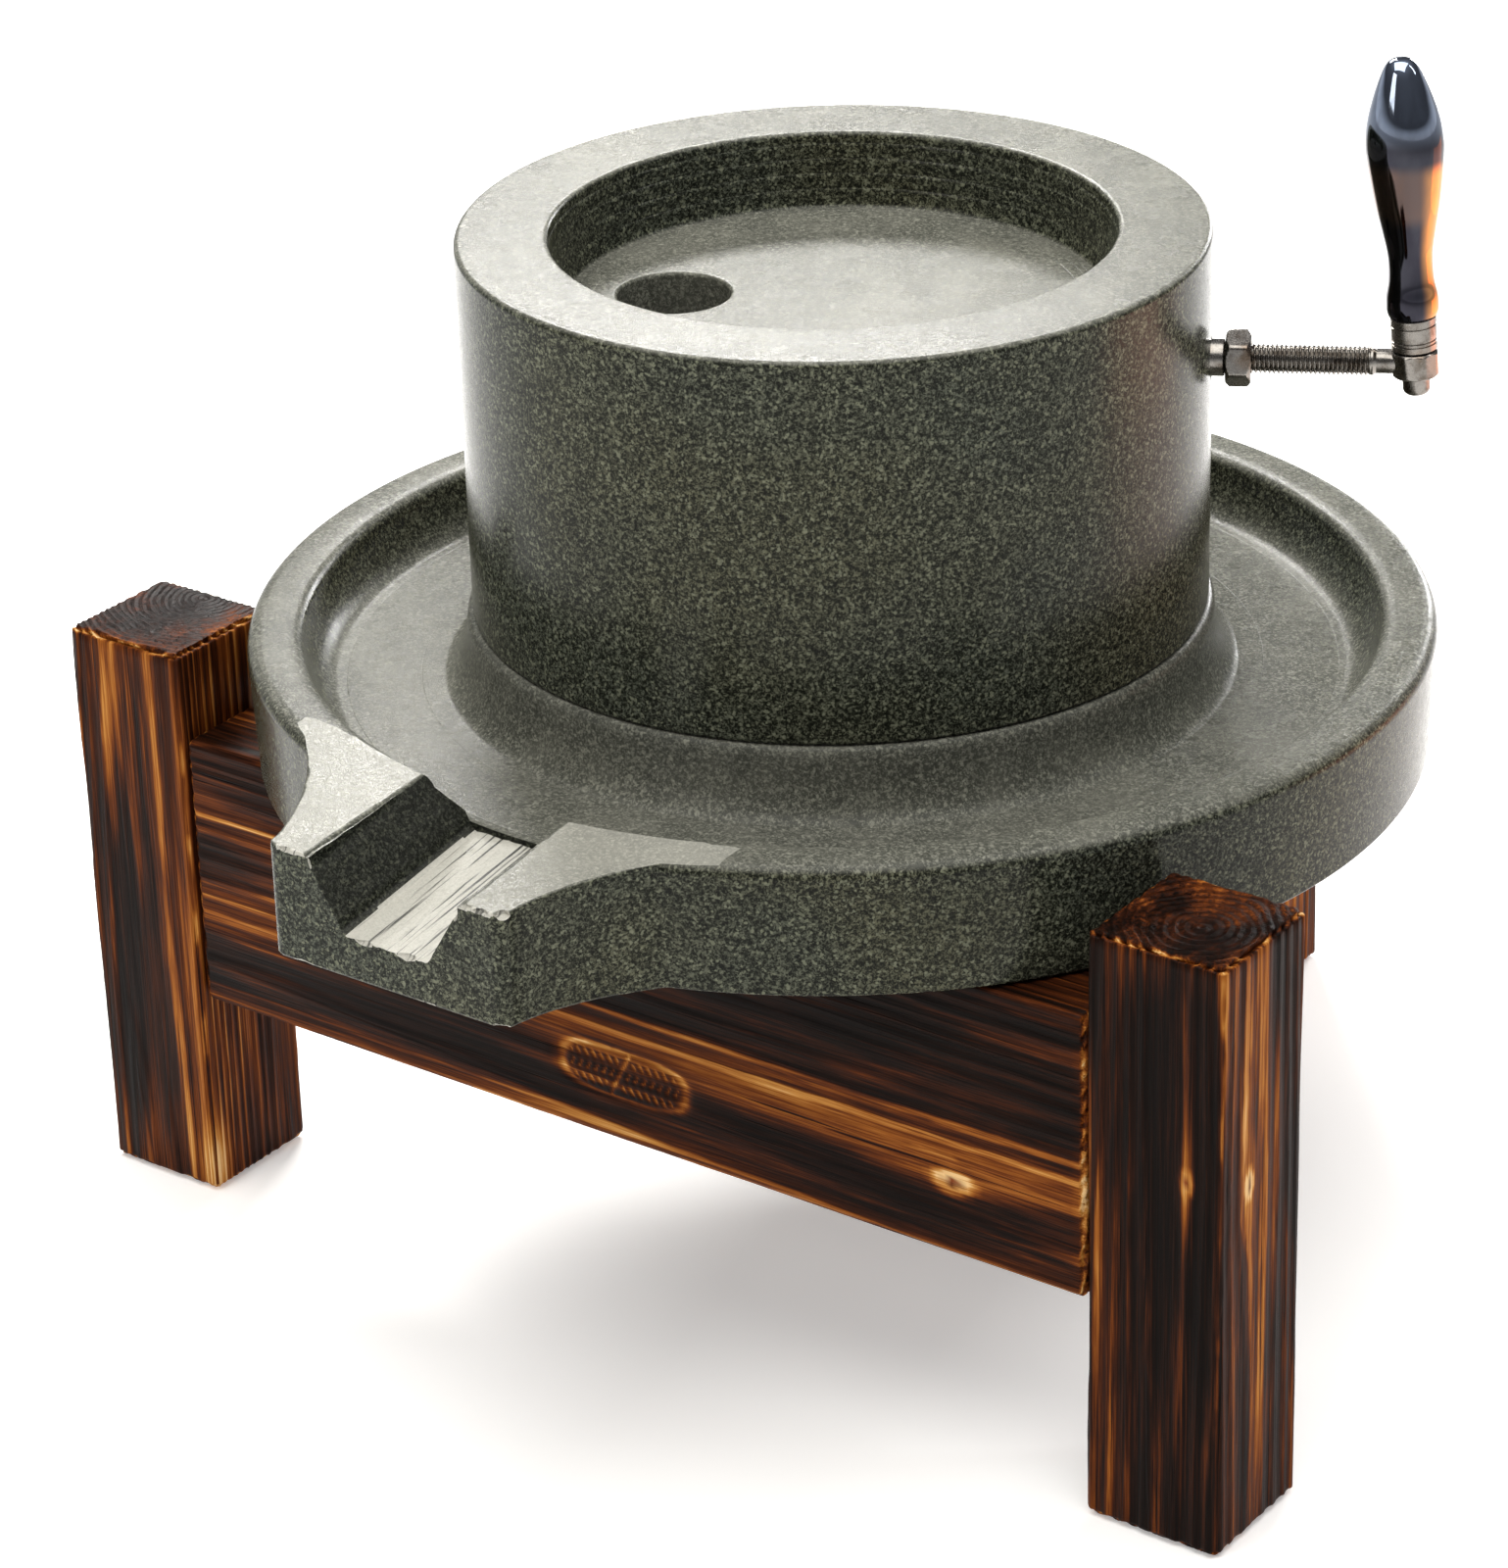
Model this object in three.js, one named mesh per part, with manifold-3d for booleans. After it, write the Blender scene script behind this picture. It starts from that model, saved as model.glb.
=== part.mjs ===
// A household rotary quern: two granite stones on a three-legged stand of charred softwood.
// Millimetres, +Z up. The origin is on the floor under the middle of the whole mill, on the stones' axis.
// The spout points along -Y and the two front legs stand at -X and +X of it.
import * as THREE from 'three';
import { mergeVertices } from 'three/addons/utils/BufferGeometryUtils.js';
import Module from 'manifold-3d';

const wasm = await Module();
wasm.setup();

// ---------------------------------------------------------------- driving dimensions
const GAP = 0.4;                    // clearance between pieces that touch

// stand
const LEG_SIDE = 50;                // square front posts
const LEG_TOP = 212;
const LEG_INNER_X = 184.7;          // inner faces of the front posts
const LEG_FRONT_Y = -134.6;
const SEAT_Z = 181;                 // underside of the stones
const BEAM_HEIGHT = 102;
const FRONT_BEAM_THICK = 42;
const BEAM_SET_BACK = 1.2;          // the front beam's face behind the posts' faces
const MIDDLE_BEAM_WIDTH = 42;
const HALF_DEPTH = 238.5;           // half of the mill's depth, spout tip to back leg
const BACK_LEG_WIDTH = 106;
const BACK_LEG_FRONT_Y = 202.8;
const BACK_LEG_TOP = 198;
const WOOD_EASE = 2.4;              // worn round edges of the wood

// lower stone, heights above its underside
const TRAY_RADIUS = 201.9;
const TRAY_BOTTOM_RADIUS = 200.3;
const RIM_HEIGHT = 45.7;
const RIM_INNER_RADIUS = 182.6;
const RIM_OUTER_ROUND = 4.5;
const RIM_INNER_ROUND = 5;
const TRAY_FLOOR_HEIGHT = 26.1;
const TRAY_FLOOR_RADIUS = 171;
const BOSS_BASE_RADIUS = 134;
const BOSS_RADIUS = 126.6;
const BOSS_HEIGHT = 50.1;
const STONE_EDGE = 1.5;             // eased bottom edge of the tray and top edge of the boss
const FLOOR_SWEEP = 6;              // how far out the floor's curve up to the rim is pulled
const BOSS_SWEEP = [1.5, 4];        // how far out and up the curve at the boss's foot is pulled

// spout, in plan; its centre line is beside the stones' axis
const SPOUT_X = -5.6;
const SPOUT_HALF_WIDTH = 47.5;
const SPOUT_ROOT_HALF_WIDTH = 88;
const SPOUT_ROOT_Y = -173;
const SPOUT_FLARE = [54, -203];     // control point of the flare, half width and Y
const SPOUT_CORNER = 5;
const SHOULDER_CREASE_Y = -170;     // the spout's top slopes down from here
const SHOULDER_DROP = 6.2;
const CHANNEL_TOP_HALF_WIDTH = 29.5;
const CHANNEL_FOOT_HALF_WIDTH = 19;
const CHANNEL_FOOT_HEIGHT = 4;      // height of the cut corners above the channel's floor
const CHANNEL_FLOOR_HALF_WIDTH = 15.5;
const CHANNEL_INNER_Y = -173;
const CHANNEL_INNER_HEIGHT = 24.6;
const CHANNEL_LIP_HEIGHT = 15;
const CUT_OVERRUN = 5;              // how far a cutting solid runs past the stone
const CUT_CLEAR = 20;               // how far a cutting solid stands above the stone

// runner, heights above the stones' underside
const RUNNER_RADIUS = 125;
const RUNNER_TOP = 180.9;
const RUNNER_EDGE = 2;              // rounding of the top edges
const RUNNER_FOOT_EDGE = 1;
const HOPPER_RADIUS = 93.8;
const HOPPER_FLOOR_RADIUS = 90.6;
const HOPPER_FLOOR_HEIGHT = 154.8;
const HOPPER_SWEEP = 2.5;           // how far out the curve at the floor's edge is pulled
const FEED_HOLE_RADIUS = 19;
const FEED_HOLE_OFFSET = 54.2;      // from the stones' axis
const FEED_HOLE_BEARING = -155;     // degrees from +X

// crank
const CRANK_BEARING = 28.5;         // degrees from +X
const CRANK_HEIGHT = SEAT_Z + 137.3;
const STUD_RADIUS = 5;
const STUD_INNER = 93;              // where the rod ends inside the runner
const SLEEVE_RADIUS = 6.2;
const SLEEVE_INNER = 90;
const SLEEVE_OUTER = 129.3;
const NUT_ACROSS_FLATS = 17;
const NUT_THICK = 8.4;
const NUT_CHAMFER = 1.3;
const NUT_FACE_INSET = 0.2;
const NUT_TURN = 18;                // degrees the nut is turned about the rod
const ROD_POINT = 1;                // chamfer at the rod's inner end
const NECK_START = 177.5;           // where the thread ends, from the stones' axis
const NECK_STEP = 0.9;
const NECK_TAPER = 1.5;
const NECK_OVERLAP = 3;             // how far the neck runs into the eye
const EYE_OFFSET = 191.7;           // from the stones' axis to the handle's axis
const EYE_RADIUS = 8.1;             // across the corners of the eight-sided eye
const EYE_HEIGHT = 8.6;
const HANDLE_LEAN = 4.2;            // degrees, towards the stones' axis
const SPINDLE_RADIUS = 3.2;
const EYE_PIN_RADIUS = 4;
const COLLAR_RADIUS = 7.6;
const COLLAR_HEIGHT = 12;
const SPINDLE_END_RADIUS = 4.6;
const SPINDLE_END_LENGTH = 6.4;
const SPINDLE_END_ROUND = 2.5;
const SPINDLE_TIP_CLEAR = 2;        // between the spindle's tip and the bottom of the grip's bore
const COLLAR_CHAMFER = 0.5;
const GRIP_LENGTH = 87;
const GRIP_BORE_DEPTH = 60;

// fineness of the round forms
const STONE_SEGMENTS = 80;
const METAL_SEGMENTS = 24;

// ---------------------------------------------------------------- materials
function material(color, roughness, metalness) {
  return new THREE.MeshStandardMaterial({ color, roughness, metalness });
}
const GRANITE = material(0x4d524b, 0.45, 0);
const CHARRED_WOOD = material(0x5a2f16, 0.6, 0);
const STEEL = material(0xb9b6b0, 0.3, 1);
const CHROME = material(0xd5d8dc, 0.08, 1);

// ---------------------------------------------------------------- helpers
const radians = THREE.MathUtils.degToRad;

function welded(geometry) {
  const bare = geometry.index ? geometry.clone() : geometry;
  bare.deleteAttribute('normal');
  bare.deleteAttribute('uv');
  return mergeVertices(bare, 1e-4);
}

function solid(geometry) {
  const bare = welded(geometry);
  return new wasm.Manifold(new wasm.Mesh({
    numProp: 3,
    vertProperties: new Float32Array(bare.attributes.position.array),
    triVerts: new Uint32Array(bare.index.array),
  }));
}

function geometryOf(manifold) {
  const mesh = manifold.getMesh();
  const geometry = new THREE.BufferGeometry();
  geometry.setAttribute('position', new THREE.BufferAttribute(new Float32Array(mesh.vertProperties), 3));
  geometry.setIndex(new THREE.BufferAttribute(new Uint32Array(mesh.triVerts), 1));
  geometry.computeVertexNormals();
  return geometry;
}

// A turned form about +Z from [radius, height] points that start and end on the axis.
function turned(profile, segments) {
  const points = profile.map(([radius, height]) => new THREE.Vector2(radius, height));
  return new THREE.LatheGeometry(points, segments).rotateX(Math.PI / 2);
}

// A turned form about +X, drawn with [radius, x] points.
function turnedAlongX(profile, segments) {
  return turned(profile, segments).rotateY(Math.PI / 2);
}

// Points of a quarter-round from one direction to another, in degrees.
function roundEdge(centreRadius, centreHeight, radius, from, to, steps = 3) {
  const points = [];
  for (let i = 0; i <= steps; i += 1) {
    const angle = radians(from + ((to - from) * i) / steps);
    points.push([centreRadius + radius * Math.cos(angle), centreHeight + radius * Math.sin(angle)]);
  }
  return points;
}

// Points of a smooth bend between two ends, pulled towards a corner, without its first point.
function bend(start, corner, end, steps) {
  const curve = new THREE.QuadraticBezierCurve(
    new THREE.Vector2(...start),
    new THREE.Vector2(...corner),
    new THREE.Vector2(...end),
  );
  return curve.getPoints(steps).slice(1).map((point) => [point.x, point.y]);
}

function outline(points) {
  return new THREE.Shape(points.map(([x, y]) => new THREE.Vector2(x, y)));
}

function prism(points, height) {
  return new THREE.ExtrudeGeometry(outline(points), { depth: height, bevelEnabled: false });
}

function place(geometry, name, look, parent) {
  const mesh = new THREE.Mesh(geometry, look);
  mesh.name = name;
  parent.add(mesh);
  return mesh;
}

// ---------------------------------------------------------------- stones
function trayProfile() {
  const edge = STONE_EDGE;
  const outer = RIM_OUTER_ROUND;
  const inner = RIM_INNER_ROUND;
  return [
    [0, 0],
    [TRAY_BOTTOM_RADIUS - edge, 0],
    [TRAY_BOTTOM_RADIUS, edge],
    ...roundEdge(TRAY_RADIUS - outer, RIM_HEIGHT - outer, outer, 0, 90, 4),
    ...roundEdge(RIM_INNER_RADIUS + inner, RIM_HEIGHT - inner, inner, 90, 180, 4),
    ...bend([RIM_INNER_RADIUS, RIM_HEIGHT - inner], [TRAY_FLOOR_RADIUS + FLOOR_SWEEP, TRAY_FLOOR_HEIGHT],
      [TRAY_FLOOR_RADIUS, TRAY_FLOOR_HEIGHT], 5),
    [BOSS_BASE_RADIUS, TRAY_FLOOR_HEIGHT],
    ...bend([BOSS_BASE_RADIUS, TRAY_FLOOR_HEIGHT],
      [BOSS_RADIUS + BOSS_SWEEP[0], TRAY_FLOOR_HEIGHT + BOSS_SWEEP[1]],
      [BOSS_RADIUS, BOSS_HEIGHT - edge], 5),
    [BOSS_RADIUS - edge, BOSS_HEIGHT],
    [0, BOSS_HEIGHT],
  ];
}

function spoutOutline() {
  const corner = [SPOUT_HALF_WIDTH, -HALF_DEPTH];
  const side = [
    [SPOUT_ROOT_HALF_WIDTH, SPOUT_ROOT_Y],
    ...bend([SPOUT_ROOT_HALF_WIDTH, SPOUT_ROOT_Y], SPOUT_FLARE, [corner[0], corner[1] + SPOUT_CORNER], 8),
    ...bend([corner[0], corner[1] + SPOUT_CORNER], corner, [corner[0] - SPOUT_CORNER, corner[1]], 3),
  ];
  const otherSide = side.map(([x, y]) => [-x, y]).reverse();
  return [...side, ...otherSide].map(([x, y]) => [x + SPOUT_X, y]);
}

// The wedge above the sloping shoulders, as a prism across X.
function shoulderCut() {
  const reach = HALF_DEPTH + CUT_OVERRUN;
  const run = -SHOULDER_CREASE_Y;
  const slope = SHOULDER_DROP / (HALF_DEPTH - run);
  const side = [
    [-run, RIM_HEIGHT],
    [-run, RIM_HEIGHT + CUT_CLEAR],
    [-reach, RIM_HEIGHT + CUT_CLEAR],
    [-reach, RIM_HEIGHT - slope * (reach - run)],
  ];
  const width = 2 * SPOUT_ROOT_HALF_WIDTH;
  return prism(side, width).rotateX(Math.PI / 2).rotateZ(Math.PI / 2).translate(-width / 2 + SPOUT_X, 0, 0);
}

// The open channel: a steep-walled section with cut corners, run downhill to the lip.
function channelCut() {
  const reach = HALF_DEPTH + CUT_OVERRUN;
  const run = reach + CHANNEL_INNER_Y;
  const fall = (CHANNEL_INNER_HEIGHT - CHANNEL_LIP_HEIGHT) / (HALF_DEPTH + CHANNEL_INNER_Y);
  const wallTop = RIM_HEIGHT - CHANNEL_INNER_HEIGHT;
  const half = [
    [CHANNEL_FLOOR_HALF_WIDTH, 0],
    [CHANNEL_FOOT_HALF_WIDTH, CHANNEL_FOOT_HEIGHT],
    [CHANNEL_TOP_HALF_WIDTH, wallTop],
    [CHANNEL_TOP_HALF_WIDTH + CUT_OVERRUN, wallTop + CUT_CLEAR],
  ];
  const otherHalf = half.map(([x, z]) => [-x, z]).reverse();
  const cut = prism([...half, ...otherHalf], run).rotateX(Math.PI / 2);
  const shear = new THREE.Matrix4().set(1, 0, 0, 0, 0, 1, 0, 0, 0, fall, 1, 0, 0, 0, 0, 1);
  return cut.applyMatrix4(shear).translate(SPOUT_X, CHANNEL_INNER_Y, CHANNEL_INNER_HEIGHT);
}

function lowerStone() {
  const tray = solid(turned(trayProfile(), STONE_SEGMENTS));
  const spout = solid(prism(spoutOutline(), RIM_HEIGHT));
  // the basin inside the rim, so that the spout's root doesn't fill it
  const basin = solid(turned([
    [0, TRAY_FLOOR_HEIGHT],
    [TRAY_FLOOR_RADIUS, TRAY_FLOOR_HEIGHT],
    [RIM_INNER_RADIUS, RIM_HEIGHT - RIM_INNER_ROUND],
    [RIM_INNER_RADIUS, RIM_HEIGHT + 1],
    [0, RIM_HEIGHT + 1],
  ], STONE_SEGMENTS));
  const joined = tray.add(spout.subtract(basin));
  const shaped = joined.subtract(solid(shoulderCut())).subtract(solid(channelCut()));
  return geometryOf(shaped);
}

function runnerProfile() {
  const edge = RUNNER_EDGE;
  const foot = BOSS_HEIGHT + GAP;
  return [
    [0, foot],
    [RUNNER_RADIUS - RUNNER_FOOT_EDGE, foot],
    [RUNNER_RADIUS, foot + RUNNER_FOOT_EDGE],
    ...roundEdge(RUNNER_RADIUS - edge, RUNNER_TOP - edge, edge, 0, 90),
    ...roundEdge(HOPPER_RADIUS + edge, RUNNER_TOP - edge, edge, 90, 180),
    ...bend([HOPPER_RADIUS, RUNNER_TOP - edge], [HOPPER_FLOOR_RADIUS + HOPPER_SWEEP, HOPPER_FLOOR_HEIGHT],
      [HOPPER_FLOOR_RADIUS, HOPPER_FLOOR_HEIGHT], 4),
    [0, HOPPER_FLOOR_HEIGHT],
  ];
}

function runnerStone() {
  const drum = solid(turned(runnerProfile(), STONE_SEGMENTS));
  const bearing = radians(FEED_HOLE_BEARING);
  const feedHole = new THREE.CylinderGeometry(FEED_HOLE_RADIUS, FEED_HOLE_RADIUS, RUNNER_TOP, 40)
    .rotateX(Math.PI / 2)
    .translate(FEED_HOLE_OFFSET * Math.cos(bearing), FEED_HOLE_OFFSET * Math.sin(bearing), RUNNER_TOP / 2);
  const socketLength = RUNNER_RADIUS - SLEEVE_INNER + CUT_OVERRUN;
  const socketRadius = SLEEVE_RADIUS + GAP;
  const socket = new THREE.CylinderGeometry(socketRadius, socketRadius, socketLength, METAL_SEGMENTS)
    .rotateZ(Math.PI / 2)
    .translate(SLEEVE_INNER - GAP + socketLength / 2, 0, 0)
    .rotateZ(radians(CRANK_BEARING))
    .translate(0, 0, CRANK_HEIGHT - SEAT_Z);
  return geometryOf(drum.subtract(solid(feedHole)).subtract(solid(socket)));
}

// ---------------------------------------------------------------- wood
// A block with worn edges between two corners.
function easedBlock(low, high) {
  const [width, depth, height] = high.map((value, i) => value - low[i]);
  const x = width / 2 - WOOD_EASE;
  const y = depth / 2 - WOOD_EASE;
  const shape = outline([[-x, -y], [x, -y], [x, y], [-x, y]]);
  const block = new THREE.ExtrudeGeometry(shape, {
    depth: height - 2 * WOOD_EASE,
    bevelThickness: WOOD_EASE,
    bevelSize: WOOD_EASE,
    bevelSegments: 2,
  });
  return block.translate(low[0] + width / 2, low[1] + depth / 2, low[2] + WOOD_EASE);
}

function addStand(parent) {
  const beamTop = SEAT_Z - GAP;
  const beamFoot = beamTop - BEAM_HEIGHT;
  const beamFront = LEG_FRONT_Y + BEAM_SET_BACK;
  const beamBack = beamFront + FRONT_BEAM_THICK;
  for (const [name, side] of [['front_leg_left', -1], ['front_leg_right', 1]]) {
    const inner = side * LEG_INNER_X;
    const outer = side * (LEG_INNER_X + LEG_SIDE);
    const low = [Math.min(inner, outer), LEG_FRONT_Y, 0];
    const high = [Math.max(inner, outer), LEG_FRONT_Y + LEG_SIDE, LEG_TOP];
    place(easedBlock(low, high), name, CHARRED_WOOD, parent);
  }
  const backLow = [-BACK_LEG_WIDTH / 2, BACK_LEG_FRONT_Y, 0];
  const backHigh = [BACK_LEG_WIDTH / 2, HALF_DEPTH, BACK_LEG_TOP];
  place(easedBlock(backLow, backHigh), 'back_leg', CHARRED_WOOD, parent);
  const beamEnd = LEG_INNER_X - GAP;
  place(easedBlock([-beamEnd, beamFront, beamFoot], [beamEnd, beamBack, beamTop]),
    'front_beam', CHARRED_WOOD, parent);
  place(easedBlock([-MIDDLE_BEAM_WIDTH / 2, beamBack + GAP, beamFoot],
    [MIDDLE_BEAM_WIDTH / 2, BACK_LEG_FRONT_Y - GAP, beamTop]), 'middle_beam', CHARRED_WOOD, parent);
}

// ---------------------------------------------------------------- crank and handle
function sleeve() {
  const bore = STUD_RADIUS + GAP;
  return turnedAlongX([
    [bore, SLEEVE_INNER],
    [SLEEVE_RADIUS, SLEEVE_INNER],
    [SLEEVE_RADIUS, SLEEVE_OUTER],
    [bore, SLEEVE_OUTER],
    [bore, SLEEVE_INNER],
  ], METAL_SEGMENTS);
}

// A hexagon nut whose corners are turned off at both ends.
function nut() {
  const corner = NUT_ACROSS_FLATS / Math.sqrt(3);
  const hexagon = new THREE.CylinderGeometry(corner, corner, NUT_THICK, 6).rotateX(Math.PI / 2);
  const turnedBlank = turned([
    [0, -NUT_THICK / 2],
    [NUT_ACROSS_FLATS / 2 - NUT_FACE_INSET, -NUT_THICK / 2],
    [corner, -NUT_THICK / 2 + NUT_CHAMFER],
    [corner, NUT_THICK / 2 - NUT_CHAMFER],
    [NUT_ACROSS_FLATS / 2 - NUT_FACE_INSET, NUT_THICK / 2],
    [0, NUT_THICK / 2],
  ], METAL_SEGMENTS);
  const boreRadius = STUD_RADIUS + GAP;
  const bore = new THREE.CylinderGeometry(boreRadius, boreRadius, NUT_THICK + CUT_OVERRUN, METAL_SEGMENTS)
    .rotateX(Math.PI / 2);
  const blank = solid(hexagon).intersect(solid(turnedBlank)).subtract(solid(bore));
  const middle = SLEEVE_OUTER + GAP + NUT_THICK / 2;
  return geometryOf(blank).rotateY(Math.PI / 2).rotateX(radians(NUT_TURN)).translate(middle, 0, 0);
}

// The rod, its neck and the eight-sided eye that leans with the handle.
function crankArm() {
  const neckRadius = STUD_RADIUS - NECK_STEP;
  const neckEnd = EYE_OFFSET - EYE_RADIUS + NECK_OVERLAP;
  const rod = solid(turnedAlongX([
    [0, STUD_INNER],
    [STUD_RADIUS - ROD_POINT, STUD_INNER],
    [STUD_RADIUS, STUD_INNER + ROD_POINT],
    [STUD_RADIUS, NECK_START],
    [neckRadius, NECK_START + NECK_TAPER],
    [neckRadius, neckEnd],
    [0, neckEnd],
  ], METAL_SEGMENTS));
  const lean = -radians(HANDLE_LEAN);
  const eye = new THREE.CylinderGeometry(EYE_RADIUS, EYE_RADIUS, EYE_HEIGHT, 8)
    .rotateX(Math.PI / 2)
    .rotateZ(Math.PI / 8)
    .rotateY(lean)
    .translate(EYE_OFFSET, 0, 0);
  const holeRadius = EYE_PIN_RADIUS + GAP;
  const hole = new THREE.CylinderGeometry(holeRadius, holeRadius, EYE_HEIGHT + CUT_OVERRUN, METAL_SEGMENTS)
    .rotateX(Math.PI / 2)
    .rotateY(lean)
    .translate(EYE_OFFSET, 0, 0);
  return geometryOf(rod.add(solid(eye)).subtract(solid(hole)));
}

function spindle() {
  const eyeTop = EYE_HEIGHT / 2 + GAP;
  const eyeFoot = -eyeTop;
  const collarTop = eyeTop + COLLAR_HEIGHT;
  const tip = collarTop + GRIP_BORE_DEPTH - SPINDLE_TIP_CLEAR;
  const end = eyeFoot - SPINDLE_END_LENGTH;
  const round = SPINDLE_END_ROUND;
  return turned([
    [0, end],
    ...roundEdge(SPINDLE_END_RADIUS - round, end + round, round, -90, 0),
    [SPINDLE_END_RADIUS, eyeFoot],
    [EYE_PIN_RADIUS, eyeFoot],
    [EYE_PIN_RADIUS, eyeTop],
    [COLLAR_RADIUS - COLLAR_CHAMFER, eyeTop],
    [COLLAR_RADIUS, eyeTop + COLLAR_CHAMFER],
    [COLLAR_RADIUS, collarTop - COLLAR_CHAMFER],
    [COLLAR_RADIUS - COLLAR_CHAMFER, collarTop],
    [SPINDLE_RADIUS, collarTop],
    [SPINDLE_RADIUS, tip],
    [0, tip],
  ], METAL_SEGMENTS);
}

// The grip's outline: a flare at the foot, a waist and a long egg-shaped body.
function gripProfile() {
  const stations = [
    [8.2, 0],
    [8.7, 2],
    [8.6, 6],
    [7.5, 12.4],
    [7.5, 20.7],
    [8.9, 29],
    [10.5, 37.2],
    [11.7, 45.5],
    [12.6, 53.5],
    [12.8, 59],
    [11.9, 66],
    [9.5, 74.2],
    [6.9, 81],
    [4.9, 84.8],
    [2.8, 86.5],
  ];
  const curve = new THREE.SplineCurve(stations.map(([radius, height]) => new THREE.Vector2(radius, height)));
  return curve.getPoints(26).map((point) => [point.x, point.y]);
}

function grip() {
  const foot = EYE_HEIGHT / 2 + 2 * GAP + COLLAR_HEIGHT;
  const bore = SPINDLE_RADIUS + GAP;
  const profile = [
    [0, GRIP_BORE_DEPTH],
    [bore, GRIP_BORE_DEPTH],
    [bore, 0],
    ...gripProfile(),
    [0, GRIP_LENGTH],
  ];
  return turned(profile, METAL_SEGMENTS).translate(0, 0, foot);
}

function addCrank(parent) {
  const crank = new THREE.Group();
  crank.position.z = CRANK_HEIGHT;
  crank.rotation.z = radians(CRANK_BEARING);
  parent.add(crank);
  place(sleeve(), 'crank_sleeve', STEEL, crank);
  place(nut(), 'crank_nut', STEEL, crank);
  place(crankArm(), 'crank_arm', STEEL, crank);

  const handle = new THREE.Group();
  handle.position.x = EYE_OFFSET;
  handle.rotation.y = -radians(HANDLE_LEAN);
  crank.add(handle);
  place(spindle(), 'handle_spindle', STEEL, handle);
  place(grip(), 'handle_grip', CHROME, handle);
}

// ---------------------------------------------------------------- the mill
const quern = new THREE.Group();
addStand(quern);
place(lowerStone(), 'lower_stone', GRANITE, quern).position.z = SEAT_Z;
place(runnerStone(), 'runner_stone', GRANITE, quern).position.z = SEAT_Z;
addCrank(quern);

export default quern;
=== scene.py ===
"""A household rotary quern on its charred stand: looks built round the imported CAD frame.

Metres, in the CAD frame: the stones turn about +Z through the origin and the spout points along -Y.
"""

import math

import bmesh
import bpy
import numpy as np
from mathutils import Matrix, Vector


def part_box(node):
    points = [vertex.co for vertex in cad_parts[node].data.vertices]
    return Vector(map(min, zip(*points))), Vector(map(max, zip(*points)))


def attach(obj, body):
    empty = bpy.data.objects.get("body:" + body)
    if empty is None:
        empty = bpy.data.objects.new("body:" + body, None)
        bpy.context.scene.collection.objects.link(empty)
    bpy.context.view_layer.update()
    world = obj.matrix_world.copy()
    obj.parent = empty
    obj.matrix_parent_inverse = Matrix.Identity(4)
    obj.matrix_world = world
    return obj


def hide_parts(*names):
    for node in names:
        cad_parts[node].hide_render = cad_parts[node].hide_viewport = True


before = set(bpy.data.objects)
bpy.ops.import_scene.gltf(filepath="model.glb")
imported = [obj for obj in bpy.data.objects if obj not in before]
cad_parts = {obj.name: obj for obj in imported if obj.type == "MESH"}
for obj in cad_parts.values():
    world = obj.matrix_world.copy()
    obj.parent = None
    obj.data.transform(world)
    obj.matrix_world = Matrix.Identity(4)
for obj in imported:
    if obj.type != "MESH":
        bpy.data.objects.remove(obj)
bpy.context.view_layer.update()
MM = 0.001
TINY = 1e-9
STAND = "stand_and_lower_stone"
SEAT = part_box("lower_stone")[0].z


# ---------------------------------------------------------------- helpers: meshes
def new_object(name, verts, faces, smooth_angle=35.0, materials=()):
    """A mesh object from points and faces, smooth except at edges sharper than smooth_angle."""
    mesh = bpy.data.meshes.new(name)
    mesh.from_pydata([tuple(map(float, v)) for v in verts], [], faces)
    mesh.update()
    for material in materials:
        mesh.materials.append(material)
    piece = bpy.data.objects.new(name, mesh)
    bpy.context.scene.collection.objects.link(piece)
    smooth(piece, smooth_angle)
    return piece


def smooth(piece, angle):
    """Shades a piece smooth except across edges sharper than angle, in degrees."""
    piece.data.polygons.foreach_set("use_smooth", [True] * len(piece.data.polygons))
    piece.data.set_sharp_from_angle(angle=math.radians(angle))


def even_shading(piece):
    """Keeps large flat faces flat beside small rounded edges."""
    piece.modifiers.new("shading", "WEIGHTED_NORMAL").keep_sharp = True


def transformed(piece, matrix):
    """The same piece, with its mesh moved by matrix."""
    piece.data.transform(matrix)
    return piece


def boolean(piece, other, operation):
    """piece joined with, or cut by, other, which is used up. New faces keep other's material."""
    step = piece.modifiers.new("step", "BOOLEAN")
    step.operation, step.object, step.solver = operation, other, "EXACT"
    step.material_mode = "TRANSFER"
    graph = bpy.context.evaluated_depsgraph_get()
    mesh = bpy.data.meshes.new_from_object(piece.evaluated_get(graph))
    piece.modifiers.clear()
    piece.data = mesh
    bpy.data.objects.remove(other)
    return piece


def turned(name, profile, segments, smooth_angle=35.0, materials=()):
    """A turned form about +Z from (radius, height) points that start and end on the axis."""
    verts, faces, rings = [], [], []
    angles = np.arange(segments) * 2 * math.pi / segments
    for radius, height in profile:
        count = 1 if radius < TINY else segments
        rings.append([len(verts) + k for k in range(count)])
        for angle in angles[:count]:
            verts.append((radius * math.cos(angle), radius * math.sin(angle), height))
    for low, high in zip(rings, rings[1:]):
        for k in range(segments):
            j = (k + 1) % segments
            if len(low) == 1:
                faces.append((low[0], high[j], high[k]))
            elif len(high) == 1:
                faces.append((low[k], low[j], high[0]))
            else:
                faces.append((low[k], low[j], high[j], high[k]))
    return new_object(name, verts, faces, smooth_angle, materials)


def arc(centre, radius, start, end, steps=6):
    """(radius, height) points along a round edge, angles in degrees from the outward direction."""
    angles = np.radians(np.linspace(start, end, steps + 1))
    return [(centre[0] + radius * math.cos(t), centre[1] + radius * math.sin(t)) for t in angles]


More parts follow.
